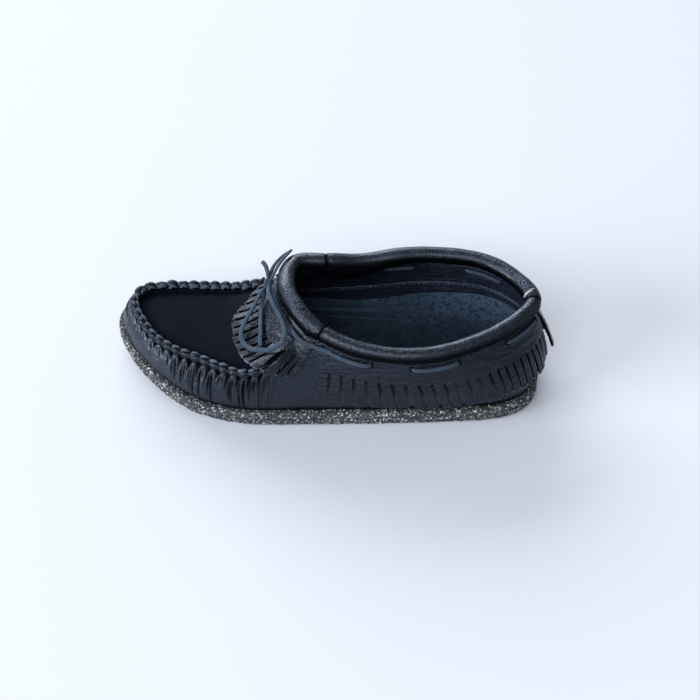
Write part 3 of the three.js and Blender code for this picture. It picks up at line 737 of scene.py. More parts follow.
def half_bow(name, loop_rows, tail_rows, nodes, spread):
    """One end of the lace: out of the knot, round its loop, back through the knot and out as a tail. The
    suede is pressed wider by spread round the loop."""
    look = settings()
    loop, loop_up = on_skin(loop_rows)
    tail, tail_up = on_skin(tail_rows)
    centre, up = knot_centre()
    places = [at_knot(loop[0]), *loop, at_knot(loop[-1]), centre, at_knot(tail[0]), *tail]
    normals = [loop_up[0], *loop_up, loop_up[-1], up, tail_up[0], *tail_up]
    loop_share = (len(loop) + 2) / (len(places) - 1)
    round_loop = np.sin(math.pi * np.clip(np.linspace(0, 1, BOW_STEPS + 1) / loop_share, 0, 1))
    width = look.lace_width * (1 + spread * round_loop)
    points, faces, line = ribbon(places, normals, width, look.lace_thickness, BOW_STEPS)
    piece = make_piece(name, points, faces, [finish("lace")], nodes)
    return piece, line * MM, float(travel(line)[-1]) * MM


def make_bow():
    """The knot, wrapped by its own lace, and the two halves of the bow."""
    look = settings()
    centre, up = knot_centre()
    side = unit(np.cross(up, [1.0, 0.0, 0.0]))
    front = unit(np.cross(side, up))

    turns = []
    for aside, ahead, high, lean, start, end in KNOT_WRAPS:
        first, second = side * aside + front * ahead, up * high
        angle = np.linspace(start, end, 22)
        out = np.cos(angle)[:, None] * first + np.sin(angle)[:, None] * second
        drift = np.linspace(-lean, lean, 22)[:, None]
        axis = unit(np.cross(first, second))
        turns.append(ribbon(centre + out + drift * axis, unit(out), look.lace_width * 0.9,
                            look.lace_thickness, 44)[:2])
    points, faces = joined(turns)
    knot = make_piece("bow_knot_wraps", points, faces, [finish("lace")], ("bow_knot",))
    halves = [
        half_bow("bow_near_half", NEAR_LOOP, SHORT_TAIL, ("bow_loop_lateral", "bow_tail_short"), 0.1),
        half_bow("bow_far_half", FAR_LOOP, LONG_TAIL, ("bow_loop_medial", "bow_tail_long"), 0.4),
    ]


# The edge of each rubber layer, from below: how far it stands in from the rim, and its height.
LOWER_EDGE = (
    (4.5, 0.0), (2.4, 0.5), (1.3, 1.5), (0.5, 2.76), (1.4, 3.36), (0.3, 3.96), (0.0, 5.2),
    (0.5, 6.6), (1.9, 6.95),
)
UPPER_EDGE = ((1.9, 7.2), (0.6, 7.45), (0.0, 8.7), (0.1, 10.7), (0.7, 11.7), (2.0, 12.05), (3.6, 11.9))
SOLE_AROUND = 560
TREAD_CELLS = 74
# Where the noise of the crumbs starts, so that every run is the same.
CRUMB_SEED = 7


def crumbled(points, depth):
    """Points of the sole, moved as the lumps of pressed crumb move them. The tread stays over the floor."""
    points = np.asarray(points, float)
    noise.seed_set(CRUMB_SEED)
    moves = []
    for x, y, z in points.tolist():
        fine = noise.noise_vector(Vector((x, y, z)) / 1.9)
        coarse = noise.noise_vector(Vector((x, y, z)) / 6.5 + Vector((9.1, 3.7, 5.2)))
        moves.append(fine * 0.75 + coarse * 0.5)
    moves = np.array(moves) * depth
    tread = points[:, 2] - spring_at(points[:, 0]) < 1.0
    moves[tread, 2] = np.abs(moves[tread, 2])
    return points + moves


def plate(profile, around, under):
    """A plate with the plan of the sole, from (inset, height) pairs, closed by a lid at the top and one
    at the bottom that is under cells wide."""
    t = np.arange(around) / around
    points = [rim(t, inset, z) for inset, z in profile]
    faces = [grid_faces(len(profile) - 1, around, closed=True)]
    start = len(profile) * around
    half = around // 2
    i = np.arange(half + 1)
    for level, columns in ((0, under), (len(profile) - 1, 2)):
        ring = points[level]
        h = np.linspace(0, 1, columns + 1)[None, :, None]
        lid = mix(ring[i][:, None], ring[(around - i) % around][:, None], h)
        lid[..., 2] = profile[level][1] + spring_at(lid[..., 0])
        points.append(lid.reshape(-1, 3))
        faces.append(grid_faces(half, columns, start=start))
        start += (half + 1) * (columns + 1)
    return np.vstack(points), np.vstack(faces)


def make_sole():
    """Two layers of pressed crumb rubber with a groove between them. The lower one has the rough tread."""
    look = settings()
    for name, rows, under, node in (
        ("sole_lower_layer", LOWER_EDGE, TREAD_CELLS, "outsole"),
        ("sole_upper_layer", UPPER_EDGE, 2, "midsole"),
    ):
        profile = Curve(rows).at(np.linspace(0, 1, 3 * len(rows)))
        points, faces = plate(profile, SOLE_AROUND, under)
        points = crumbled(points, look.crumb)
        make_piece(name, points, faces, [finish("rubber")], (node,))


def shell_faces(rows, columns, ends):
    """The faces of two grids of points that lie over each other, joined along both sides, and with ends
    across both ends too."""
    step = columns + 1
    size = (rows + 1) * step
    faces = [grid_faces(rows, columns), grid_faces(rows, columns, start=size)]
    borders = [(np.arange(rows) * step + column, step) for column in (0, columns)]
    if ends:
        borders += [(row * step + np.arange(columns), 1) for row in (0, rows)]
    for k, on in borders:
        faces.append(np.stack([k, k + on, k + on + size, k + size], axis=1))
    return np.vstack(faces)


# How far the sock turns up at the wall.
FILLET = 7.0
# Two long ridges of the sock: their places across, and where along the shoe their painted pale line and
# dark flanks begin and are full.
RIDGES = (-37.0, -32.0)
RIDGE_START = -60.0
RIDGE_FULL = -20.0


def make_insole():
    """The suede sock: dished under the foot, turned up a little at the wall, with two long ridges."""
    rows, columns = 200, 64
    around = 2 * rows
    bottom = rim(np.arange(around) / around, WELT + LEATHER + 0.9, MARGIN_TOP + JOINT)
    i = np.arange(rows + 1)
    h = np.linspace(0, 1, columns + 1)[None, :, None]
    flat = mix(bottom[i][:, None], bottom[(around - i) % around][:, None], h)
    flat[..., 2] = MARGIN_TOP + JOINT + spring_at(flat[..., 0])
    top = flat.copy()
    across = np.abs(2 * h[..., 0] - 1)
    ends = np.minimum(i, rows - i)[:, None] / rows
    edge = np.maximum(across, 1 - ease(0.0, 0.08, ends))
    dish = -0.8 * (1 - ease(0.3, 0.95, edge)) + FILLET * ease(0.7, 1.03, edge) ** 2.5
    ridge = sum(np.exp(-((flat[..., 1] - side) / 0.9) ** 2) for side in RIDGES)
    worn = 0.35 * ripple(flat, 26.0, 2.3) + 0.12 * ripple(flat, 7.0, 5.1)
    top[..., 2] += INSOLE + dish + worn
    top[..., 2] += 0.75 * ridge * ease(-0.35, -0.1, flat[..., 0] / LENGTH)
    points = np.vstack([top.reshape(-1, 3), flat.reshape(-1, 3)])
    faces = shell_faces(rows, columns, ends=False)
    make_piece("insole_suede", points, faces, [finish("insole")], ("insole",))


# Places round the raised seam, and how far along it each one lies.
SEAM_T = np.linspace(0.25, 0.75, 1601)
SEAM_REACH = travel(top_edge(SEAM_T))
# Where on the outer side the stitches start; on the inner side they end at 1 less this.
STITCHES_FROM = 0.286
# How many stitches a pleat leans over from the seam down to the sole.
LEAN = 0.5
# How far the leather swells between two stitches, on the sides and at the toe.
PILLOW = 1.4
PILLOW_TOE = 2.2
# The finer folds between two stitches: their places, and what sets their chances apart.
FINE_FOLDS = ((0.3, 5.0), (0.52, 8.0), (0.72, 6.0))


def seam_count(t):
    """How many stitches along the seam a place is, from the outer throat."""
    return np.interp(t, SEAM_T, SEAM_REACH) / settings().stitch_pitch


def seam_place(count):
    return np.interp(np.asarray(count) * settings().stitch_pitch, SEAM_REACH, SEAM_T)


def pleats(t, s):
    """How far the gathered leather stands out or is drawn in under the seam. A furrow runs down from
    each stitch, and finer ones run between them, longer on the outer side than at the toe."""
    look = settings()
    count = seam_count(t) + LEAN * (1 - s) * np.where(t < 0.5, 1.0, -1.0)
    side = np.abs(t - 0.5) * 4
    length = mix(0.3, 0.85, ease(0.15, 0.7, side))
    own = np.round(count)
    from_furrow = np.abs(count - own)
    ends = 1 - length * (0.6 + 0.6 * chance(own, 1.0))
    notch = 0.13 + 0.13 * np.exp(-(((s - 0.88) / 0.08) ** 2))
    furrow = np.exp(-((from_furrow / notch) ** 2)) * ease(ends, 0.9, s)
    pillow = np.sin(math.pi * from_furrow) ** 0.8 * ease(0.6, 0.88, s)
    fine = np.zeros_like(count)
    for offset, salt in FINE_FOLDS:
        nearest = np.round(count - offset)
        shift = 0.16 * (chance(nearest, salt) - 0.5)
        gap = np.abs(count - offset - nearest + shift)
        low = 0.9 - length * (0.5 + 0.7 * chance(nearest, salt + 2))
        fine += np.exp(-((gap / 0.085) ** 2)) * ease(low, low + 0.25, s) * (1 - ease(0.72, 0.86, s))
    fine *= ease(0.05, 0.35, side)
    plump = mix(PILLOW_TOE, PILLOW, ease(0.1, 0.5, side))
    within = ease(0.268, 0.295, t) * (1 - ease(0.705, 0.732, t))
    wide = np.stack([count * 1.7, s * 3.0, np.zeros_like(count)], axis=-1)
    loose = 0.3 * ripple(wide, 1.0, 4.2) * ease(0.1, 0.5, s) * (1 - ease(0.85, 1.0, s))
    deep = look.pleat * (0.75 + 0.5 * chance(own, 2.0))
    return within * (plump * pillow - deep * furrow - 0.55 * look.pleat * fine + loose)


# How far the leather runs up into the roll that hides its edge.
TUCK = 3.5
# How far the leather is drawn in where it meets the sole.
FOOT_GROOVE = 1.0


def even_places(s, count):
    """Places round the shoe, evenly apart along the wall at s."""
    t = np.linspace(0, 1, 4001)
    reach = travel(wall(t, np.full_like(t, s)))
    return np.interp(np.linspace(0, reach[-1], count + 1)[:-1], reach, t)


def soft_form(points):
    """The slow unevenness of soft leather that no last holds."""
    return 0.7 * ripple(points, 36.0, 1.7) + 0.3 * ripple(points, 11.0, 6.3)


def make_upper():
    """The wall of the upper with its pleats, its margin turned in under the insole."""
    around, outside, inside = 1100, 48, 14
    t = even_places(0.7, around)[:, None]
    low = SOLE_THICKNESS + JOINT
    rows = np.linspace(0, 1, outside + 1)[None, :]
    surface = wall(t, rows)
    folds = pleats(*np.broadcast_arrays(t, rows))
    lift = soft_form(surface) * np.sin(math.pi * rows) + folds
    lift -= FOOT_GROOVE * np.exp(-((rows / 0.05) ** 2))
    outer = surface + wall_normal(t, rows) * lift[..., None]
    back = np.linspace(1, 0.04, inside)[None, :]
    inner = off_wall(t, back, np.full(np.broadcast(t, back).shape, -LEATHER))
    tuck = np.array([0.0, 0.0, TUCK]) * (1 - forefoot(t))[..., None]
    outer[:, -1:] += tuck
    inner[:, :1] += tuck
    start = rim(t[:, 0], WELT + MARGIN, low)[:, None]
    turn = rim(t[:, 0], WELT + LEATHER + 0.3, low + LEATHER)[:, None]
    end = rim(t[:, 0], WELT + MARGIN, low + LEATHER)[:, None]
    section = np.concatenate([start, outer, inner, turn, end], axis=1)
    size = section.shape[1]
    # Painted shade in the gloss: the wall is dulled in the furrows of its pleats and in the groove at its
    # foot; the margin and inside keep a fixed gloss.
    polish = np.full(section.shape[:2], 0.8)
    polish[:, 1:outside + 2] = ease(-1.2, 0.5, folds) * ease(0.0, 0.08, rows)
    i, j = np.meshgrid(np.arange(around), np.arange(size), indexing="ij")
    after, beside = (i + 1) % around, (j + 1) % size
    faces = np.stack([i * size + j, after * size + j, after * size + beside, i * size + beside], axis=-1)
    marks = (j > outside + 1).astype(int)
    make_piece("upper_wall", section.reshape(-1, 3), faces.reshape(-1, 4),
               [finish("wall"), finish("lining")], ("upper",), marks.reshape(-1), polish)


# Inside: how high the suede and the sewn edge over it stand, at places round the shoe, in millimetres.
LINING_TOPS = np.array([
    (0.69, 17.0, 26.0), (0.76, 19.0, 34.0), (0.795, 24.0, 39.5), (0.82, 34.0, 45.0), (0.843, 40.0, 48.0),
    (0.867, 42.0, 49.0), (0.893, 44.5, 50.0), (0.916, 44.5, 50.0), (0.95, 43.5, 49.5), (1.0, 43.0, 49.0),
])


# How far the lining runs forward from the heel, both ways round.
LINING_FROM = 0.31


def band_inside(name, low, high, lift, thick, foot, kind):
    """A band of leather on the inside of the wall between two heights, given at places t. It grows
    thicker by foot towards its lower edge."""
    columns, rows = 280, 14
    t = np.linspace(1 - LINING_FROM, 1 + LINING_FROM, columns + 1)
    share = np.linspace(0, 1, 61)
    rise = wall(t[:, None], share[None, :])[..., 2]
    bottom, top = low(t), high(t)
    z = mix(bottom[:, None], top[:, None], np.linspace(0, 1, rows + 1)[None, :])
    s = np.array([np.interp(z[i], rise[i], share) for i in range(columns + 1)])
    places = np.broadcast_to(t[:, None], s.shape)
    near = off_wall(places, s, np.full(s.shape, -LEATHER - lift))
    rounded = thick * np.sqrt(np.clip(np.minimum(z - bottom[:, None], top[:, None] - z) / 0.8, 0.15, 1.0))
    loose = 0.12 * ripple(near, 20.0, 9.4)
    filled = foot * np.exp(-(((z - bottom[:, None]) / 6.0) ** 2))
    far = off_wall(places, s, -LEATHER - lift - rounded - loose - filled)
    section = np.concatenate([near, far[:, ::-1]], axis=1)
    size = section.shape[1]
    faces = grid_faces(columns, size, closed=True).tolist()
    faces.append(list(range(size)))
    faces.append([columns * size + j for j in range(size)])
    make_piece(name, section.reshape(-1, 3), faces, [finish(kind)])
    return t, s[:, -1], far[:, -1]


def lining_top(column):
    def height(t):
        way = np.where(t > 1, 2 - t, t)[..., None] + np.linspace(-0.02, 0.02, 9)
        return np.interp(way, LINING_TOPS[:, 0], LINING_TOPS[:, column]).mean(-1)

    return height


# The stitches of the lining's edge: their spacing, half their length, and how far under the edge.
LINING_STITCH = 3.2
LINING_HALF = 1.1
LINING_UNDER = 1.7
# How deep each point of such a stitch is sunk, from end to end.
LINING_SUNK = np.array([0.5, 0.1, 0.0, 0.0, 0.0, 0.1, 0.5])


def make_heel_lining():
    """The suede that lines the wall round the heel, the leather edge over it and that edge's stitches."""
    def foot(t):
        return np.full_like(t, INSOLE_TOP + 2.0)

    def under_edge(t):
        return lining_top(1)(t) - 2.5

    band_inside("lining_suede", foot, lining_top(1), 0.1, 0.9, 4.0, "insole")
    t, s, line = band_inside("lining_edge", under_edge, lining_top(2), 0.15, 1.3, 0.0, "lining")
    stitches = []
    reach = travel(line)
    for middle in np.arange(3.0, reach[-1] - 3.0, LINING_STITCH):
        span = np.interp(np.linspace(middle - LINING_HALF, middle + LINING_HALF, 7), reach, t)
        low = np.interp(span, t, s) - LINING_UNDER / wall_height(span)
        places = off_wall(span, low, -LEATHER - 1.6 + LINING_SUNK)
        stitches.append(ribbon(places, -wall_normal(span, low), 0.55, 0.45, 6, 6, 0)[:2])
    points, faces = joined(stitches)
    make_piece("lining_thread", points, faces, [finish("insole")])


def make_plug():
    """The smooth leather over the toes, drawn in a little at each stitch of its edge."""
    rows, columns = 170, 96
    a = np.linspace(0, 1, rows + 1)[:, None]
    b = np.sin(np.linspace(-1, 1, columns + 1) * math.pi / 2)[None, :]
    top = plug(a, b)
    n = plug_normal(*np.broadcast_arrays(a, b))
    t = level_with(a, b)
    across = seam_count(t) % 1.0
    width = np.linalg.norm(plug(a, np.ones_like(a)) - plug(a, -np.ones_like(a)), axis=-1)
    from_edge = (1 - np.abs(b)) * width / 2
    pucker = np.exp(-from_edge / 2.4) * (np.sin(math.pi * across) - 0.6) * 0.7
    calm = 0.22 * ripple(top, 30.0, 8.1)
    upturned = 1.5 * np.exp(-((from_edge / 1.8) ** 2)) * ease(0.08, 0.16, a)
    top = top + n * (pucker + calm + upturned)[..., None]
    under = plug(a, b) - n * LEATHER
    top[0, :, 2] += TUCK
    under[0, :, 2] += TUCK
    points = np.vstack([top.reshape(-1, 3), under.reshape(-1, 3)])
    faces = shell_faces(rows, columns, ends=True)
    make_piece("plug_leather", points, faces, [finish("plug")], ("plug",))


def seam_frame(t):
    """The middle of the raised seam, and the ways outwards and up there."""
    centre = off_wall(t, np.ones_like(t), np.full_like(t, 2.0))
    up = wall_normal(t, np.ones_like(t))
    along = unit(off_wall(t + 0.002, np.ones_like(t), np.full_like(t, 2.0))
                 - off_wall(t - 0.002, np.ones_like(t), np.full_like(t, 2.0)))
    side = unit(np.cross(along, up))
    turned = (side * outward(t)).sum(-1, keepdims=True) < 0
    return centre, np.where(turned, -side, side), up


# Half the thickness of the raised seam at a stitch.
SEAM_CORE = 1.25
# One turn of the thong over the seam: stitches along, degrees round, and lift off the seam.
THONG_TURN = np.array([
    (-0.74, 196.0, -0.9), (-0.7, 172.0, 0.0), (-0.62, 150.0, 0.5), (-0.46, 138.0, 0.7),
    (-0.3, 136.0, 0.7), (-0.17, 146.0, 0.5), (-0.1, 168.0, 0.0), (-0.08, 196.0, -0.9),
])


def bead(count):
    """How thick the raised seam is: swollen between two stitches and drawn in at each."""
    across = count % 1.0
    swollen = np.sin(math.pi * across) ** 0.55 * (0.75 + 0.45 * chance(np.floor(count), 3.0))
    return SEAM_CORE + settings().bead * swollen


def make_seam():
    """The raised seam round the plug: beads of gathered leather, and the thong that whips over it."""
    look = settings()
    first = float(seam_count(STITCHES_FROM))
    last = float(seam_count(1 - STITCHES_FROM))
    steps = int((last - first) * 12)
    count = np.linspace(first, last, steps + 1)
    t = seam_place(count)
    centre, side, up = seam_frame(t)
    thick = bead(count)
    angle = np.linspace(0, 2 * math.pi, 14, endpoint=False)
    lumps = 0.3 * ripple(centre, 2.6, 7.7)

    def section(i):
        r = thick[i] + lumps[i]
        return np.stack([np.cos(angle) * r, np.sin(angle) * r * 1.05], axis=1)

    points, faces = tube(centre, side, up, section)
    make_piece("raised_seam", points, faces, [finish("leather")], ("seam_thong",))
    stitches = []
    way, degrees, lift = THONG_TURN.T
    for k in range(math.ceil(first), math.floor(last) + 1):
        at = seam_place(k + way)
        turn = np.radians(degrees + mix(-22.0, 24.0, ease(0.42, 0.6, at)) + 24.0 * (chance(k, 4.0) - 0.5))
        middle, out, over = seam_frame(at)
        radial = np.cos(turn)[:, None] * out + np.sin(turn)[:, None] * over
        r = bead(k + way) + lift
        wide = look.thong_width * (0.75 + 0.5 * chance(k, 6.0))
        stitches.append(ribbon(middle + radial * r[:, None], radial, wide, 1.0, 22, 10)[:2])
    points, faces = joined(stitches)
    make_piece("seam_stitches", points, faces, [finish("thong")])


def roll_frame(u):
    """The middle of the collar's roll at u, and the ways outwards and up there."""
    centre = ROLL_CURVE.at(u)
    along = unit(ROLL_CURVE.at(u + 0.002) - ROLL_CURVE.at(u - 0.002))
    side = unit(np.cross([0.0, 0.0, 1.0], along))
    return centre, along, side, unit(np.cross(along, side))


# Where the roll sags into the opening, at the inner throat: row, width in rows, depth, degrees round it.
SAG_ROW = 10.3
SAG_WIDTH = 0.6
SAG = 6.5
SAG_SIDE = 243.0
# The front length is padded fuller on its outer side, at that many degrees round it.
FRONT_FULLER = 2.0
FULLER_SIDE = 325.0
# The inner length dips behind the throat.
DIP_ROW = 10.6
DIP_WIDTH = 0.42
DIP = 2.6
ROLL_SIDES = 32
# The pale stitches at the heel: row of the collar, first and last degree round the roll.
HEEL_STITCHES = ((-0.3, 60.0, 150.0), (-0.22, 85.0, 170.0), (-0.27, 120.0, 185.0))


def make_collar():
    """The padded roll round the opening, in three lengths that are sewn end to end."""
    look = settings()
    lengths = (
        ("collar_roll_outer", 0, THROAT_OUTER, "collar_lateral"),
        ("collar_roll_front", THROAT_OUTER, THROAT_INNER, "collar_front"),
        ("collar_roll_inner", THROAT_INNER, ROLL_ROWS, "collar_medial"),
    )
    for name, first, last, node in lengths:
        steps = int((last - first) * 40)
        u = np.linspace(first, last, steps + 1) / ROLL_ROWS
        centre, along, side, up = roll_frame(u)
        reach = travel(centre)
        from_end = np.minimum(reach, reach[-1] - reach)
        tuck = 0.9 + 0.1 * np.sqrt(np.clip(from_end / 2.2, 0, 1))
        angle = np.linspace(0, 2 * math.pi, ROLL_SIDES, endpoint=False)
        swell = 1 + 0.06 * ripple(centre, 24.0, 3.3) + 0.04 * ripple(centre, 9.0, 4.4)
        sag = SAG * np.exp(-(((u * ROLL_ROWS - SAG_ROW) / SAG_WIDTH) ** 2))
        centre[:, 2] -= DIP * np.exp(-(((u * ROLL_ROWS - DIP_ROW) / DIP_WIDTH) ** 2))
        inward = np.maximum(0.0, np.cos(angle - math.radians(SAG_SIDE))) ** 2
        outer_low = np.maximum(0.0, np.cos(angle - math.radians(FULLER_SIDE))) ** 2
        fuller = FRONT_FULLER * ease(0.0, 7.0, from_end) * (node == "collar_front")
        bent = np.linalg.norm(np.gradient(along, axis=0), axis=1) / np.maximum(np.gradient(reach), 1e-6)
        gather = 0.03 + 0.3 * ease(0.008, 0.03, bent)
        ring = np.stack([np.cos(angle), np.sin(angle)], axis=1)

        def section(i):
            spots = np.stack([np.full(ROLL_SIDES, reach[i] / 2.6), *(0.9 * ring.T)], axis=1)
            folds = np.array([noise.noise(p) for p in spots.tolist()])
            r = look.roll / 2 * swell[i] * tuck[i] - gather[i] * np.abs(folds)
            r += sag[i] * inward + fuller[i] * outer_low
            return ring * r[:, None] * np.array([1.0, 0.97])

        points, faces = tube(centre, side, up, section)
        # Painted shade in the gloss: the roll is dulled on its underside and at its ends, where shade falls
        # and a reflection would otherwise show.
        near_end = ease(0.0, 2.5, np.concatenate([[0.0], from_end, [0.0]]))
        polish = near_end[:, None] * ease(0.15, 0.9, np.sin(angle))
        piece = make_piece(name, points, faces, [finish("collar")], (node,),
                           polish=polish)


def make_heel_thread():
    """Pale stitches that close the collar over the heel seam."""
    look = settings()
    stitches = []
    for row, start, end in HEEL_STITCHES:
        turn = np.radians(np.linspace(start, end, 7))
        u = (row + np.linspace(-0.03, 0.05, 7)) / ROLL_ROWS
        centre, _, side, up = roll_frame(u)
        radial = np.cos(turn)[:, None] * side + np.sin(turn)[:, None] * up
        r = look.roll / 2 + np.array([-0.9, 0.1, 0.25, 0.25, 0.25, 0.1, -0.9])
        stitches.append(ribbon(centre + radial * r[:, None], radial, 0.5, 0.45, 14, 8)[:2])
    points, faces = joined(stitches)
    make_piece("heel_seam_thread", points, faces, [finish("thread")])


# Cells of a flap: across each strip, from the roll down to the slits, and from there to the tips.
STRIP_CELLS = 5
BAND_CELLS = 22
FREE_CELLS = 16


def flap(name, point, strips, node, seed, curl, slit, root):
    """A flap of leather that hangs from the roll, its lower part cut into strips. point(u, s, extra)
    is its middle surface, from one end (u = 0) to the other and from the roll (s = 0) to the tips."""
    look = settings()
    u, own = [], []
    for k in range(strips):
        u.extend(np.linspace((k + slit / 2) / strips, (k + 1 - slit / 2) / strips, STRIP_CELLS + 1))
        own.extend([k] * (STRIP_CELLS + 1))
    u, own = np.array(u)[None, :], np.array(own)[None, :]
    band = np.linspace(0, CUFF_BAND, BAND_CELLS + 1)
    s = np.concatenate([band, np.linspace(CUFF_BAND, 1, FREE_CELLS + 1)[1:]])[:, None]
    free = np.clip((s - CUFF_BAND) / (1 - CUFF_BAND), 0, 1)
    own_s = s + free * (1 - CUFF_BAND) * 0.1 * (chance(own, seed) - 0.6)
    within = (u * strips - own - 0.5) * (1 - 0.04 * chance(own, seed + 1) * free)
    drift = 0.22 * (chance(own, seed + 2) - 0.5) * free**1.3
    own_u = (own + 0.5 + within + drift) / strips
    twist = (chance(own, seed + 3) - 0.5) * 1.5 * free * within
    bow = curl * (0.3 + chance(own, seed + 4)) * free**2
    extra = LEATHER / 2 + twist + bow
    flat = point(own_u, own_s, extra)
    crease = -np.abs(ripple(flat * np.array([0.22, 0.22, 1.0]), 3.4, seed)) * (1 - free) * look.crease
    broad = ripple(flat, 16.0, seed + 3.0) * 0.5 * ease(0.0, 0.3, s)
    grid = point(own_u, own_s, extra + crease + broad)
    grid[0] = root(own_u[0])
    rows, columns = len(s) - 1, u.shape[1] - 1
    faces = grid_faces(rows, columns)
    i = np.repeat(np.arange(rows), columns)
    j = np.tile(np.arange(columns), rows)
    kept = (i < BAND_CELLS) | ((j + 1) % (STRIP_CELLS + 1) != 0)
    # The slits' sides take the dark cut finish, painted shade in the gaps between strips; the tips take the
    # pale raw edge.
    kinds = ("flap", "cut", "flap", "edge")
    marks = np.where(i[kept] == rows - 1, 2, 0)
    piece = make_piece(name, grid.reshape(-1, 3), faces[kept], [finish(kind) for kind in kinds],
                       (node,), marks)
    solid = piece.modifiers.new("leather thickness", "SOLIDIFY")
    solid.thickness = look.flap_thickness * MM
    solid.offset = 0.0
    solid.material_offset_rim = 1
    bevel = piece.modifiers.new("soft edges", "BEVEL")
    bevel.width = 0.22 * MM
    bevel.segments = 2
    bevel.limit_method = "ANGLE"
    bevel.angle_limit = math.radians(50)


def hidden_in_roll(row):
    """Where a flap starts: inside the roll, under its middle."""
    return ROLL_CURVE.at(np.asarray(row) / ROLL_ROWS) - np.array([0.0, 0.0, ROLL * 0.3])


def make_kiltie():
    """The front flap, a fan of strips over the back of the plug."""
    look = settings()

    def across(u):
        return mix(0.99, -0.99, u - KILTIE_CROWD * np.sin(2 * math.pi * u))

    def point(u, s, extra):
        return kiltie_point(across(u), s, extra)

    def root(u):
        return hidden_in_roll(mix(THROAT_OUTER, THROAT_INNER, (1 - across(u)) / 2))

    flap("kiltie_fringe", point, look.kiltie_strips, "kiltie", 11.0, 1.0, look.kiltie_slit, root)


def make_cuffs():
    """The two fringed cuffs that hang under the roll, from the front corners to the heel."""
    look = settings()
    for name, node, first, last, seed in (
        ("cuff_fringe_outer", "cuff_lateral", 0.246, 0.003, 21.0),
        ("cuff_fringe_inner", "cuff_medial", 0.754, 0.997, 31.0),
    ):
        def point(u, s, extra, first=first, last=last):
            return cuff_point(mix(first, last, u), s, extra)

        def root(u, first=first, last=last):
            k = mix(first, last, u) * 20
            return hidden_in_roll(np.where(k <= THROAT_OUTER, k, k - THROAT_OUTER))

        flap(name, point, look.cuff_strips, node, seed, 1.1, look.cuff_slit, root)


# The long stitches of the lace: its node, and the places round the shoe of its first and last slit.
OUTER_STITCHES = (
    ("lace_lateral_middle", 0.168, 0.122), ("lace_lateral_heel", 0.075, 0.012),
    ("lace_medial_front", 0.757, 0.79), ("lace_medial_middle", 0.838, 0.872),
    ("lace_medial_heel", 0.932, 0.988),
)
INNER_STITCHES = (
    ("lace_lateral_inside_front", 0.192, 0.172), ("lace_lateral_inside_rear", 0.118, 0.079),
    ("lace_medial_inside_front", 0.796, 0.832), ("lace_medial_inside_rear", 0.878, 0.926),
)
FRONT_STITCH_OUTER = (0.243, 0.196)
# How far down the cuff the lace runs, and where on a stitch its two slits are, all as shares.
LACE_SHARE = (1.2 + 1.6) / CUFF_DROP
SLIT_PLACES = (0.05, 0.95)


def stitch_line(first, last, outside, dive_first=True):
    """The points and normals of one long stitch: flat on the leather, its ends down through the slits."""
    look = settings()
    t = np.linspace(first, last, 15)
    reach = np.linspace(0, 1, 15)
    low = behind_cuff(t, LACE_SHARE)
    down = ease(0.88, 1.0, reach) + (1 - ease(0.0, 0.12, reach) if dive_first else 0)
    sag = 0.35 * np.sin(math.pi * reach)
    if outside:
        lift = cuff_lift(t, LACE_SHARE) + LEATHER + look.lace_thickness / 2 + sag - 2.6 * down
    else:
        lift = -LEATHER - look.lace_thickness / 2 - 0.3 - sag + 2.2 * down
    n = wall_normal(t, low)
    points = off_wall(t, low, lift)
    points[:, 2] -= (0.8 if outside else -0.5) * np.sin(math.pi * reach)
    return points, n if outside else -n


def make_lace():
    """The flat suede lace in long stitches through the cuff, and the cut edges of the slits."""
    look = settings()
    width, thick = look.lace_width, look.lace_thickness
    for stitches, outside in ((OUTER_STITCHES, True), (INNER_STITCHES, False)):
        for name, first, last in stitches:
            line, lean = stitch_line(first, last, outside)
            points, faces, _ = ribbon(line, lean, width * (0.88 if outside else 1.0), thick, 60, tip=4.0)
            shown = name.replace("lace_", "lace_stitch_")
            make_piece(shown, points, faces, [finish("lace")], (name,))
    start, start_up = on_skin(FRONT_STITCH)
    rest, rest_up = stitch_line(*FRONT_STITCH_OUTER, True, dive_first=False)
    places = [at_knot(start[0]), *start, *rest[1:]]
    normals = [start_up[0], *start_up, *rest_up[1:]]
    points, faces, _ = ribbon(places, normals, width, thick, 150)
    make_piece("lace_front_run", points, faces, [finish("lace")],
               ("lace_kiltie_lateral", "lace_lateral_front"))
    lips = []
    spans = [(*span, True) for _, *span in OUTER_STITCHES] + [(*span, False) for _, *span in INNER_STITCHES]
    ends = [(mix(first, last, place), outside) for first, last, outside in spans for place in SLIT_PLACES]
    ends.append((mix(*FRONT_STITCH_OUTER, 0.96), True))
    for t, outside in ends:
        t = np.array([t])
        low = behind_cuff(t, LACE_SHARE)
        n = wall_normal(t, low)[0]
        lift = cuff_lift(t, LACE_SHARE) + LEATHER if outside else np.array([-LEATHER])
        centre = off_wall(t, low, lift)[0]
        along = unit(wall(t + 0.002, low) - wall(t - 0.002, low))[0]
        rise = unit(np.cross(n, along))
        angle = np.linspace(0, 2 * math.pi, 17)[:, None]
        ring = centre + np.cos(angle) * along * 0.7 + np.sin(angle) * rise * (width / 2 + 0.3)
        lips.append(ribbon(ring, np.tile(n if outside else -n, (17, 1)), 0.7, 0.7, 32, 8, 0)[:2])
    points, faces = joined(lips)
    # The rims of the slits take the dark cut finish: painted shade in the slits' mouths.
    make_piece("lace_slit_edges", points, faces, [finish("cut")])


# The camera of the photograph: its place, its angles to the shoe, and its lens for a square picture.
CAMERA_PLACE = (-0.07242, 0.62302, 0.71533)
CAMERA_ELEVATION = 48.0
CAMERA_YAW = 5.0
CAMERA_LENS = 74.13
CAMERA_SENSOR = 36.0
FLOOR_HALF = 4.0


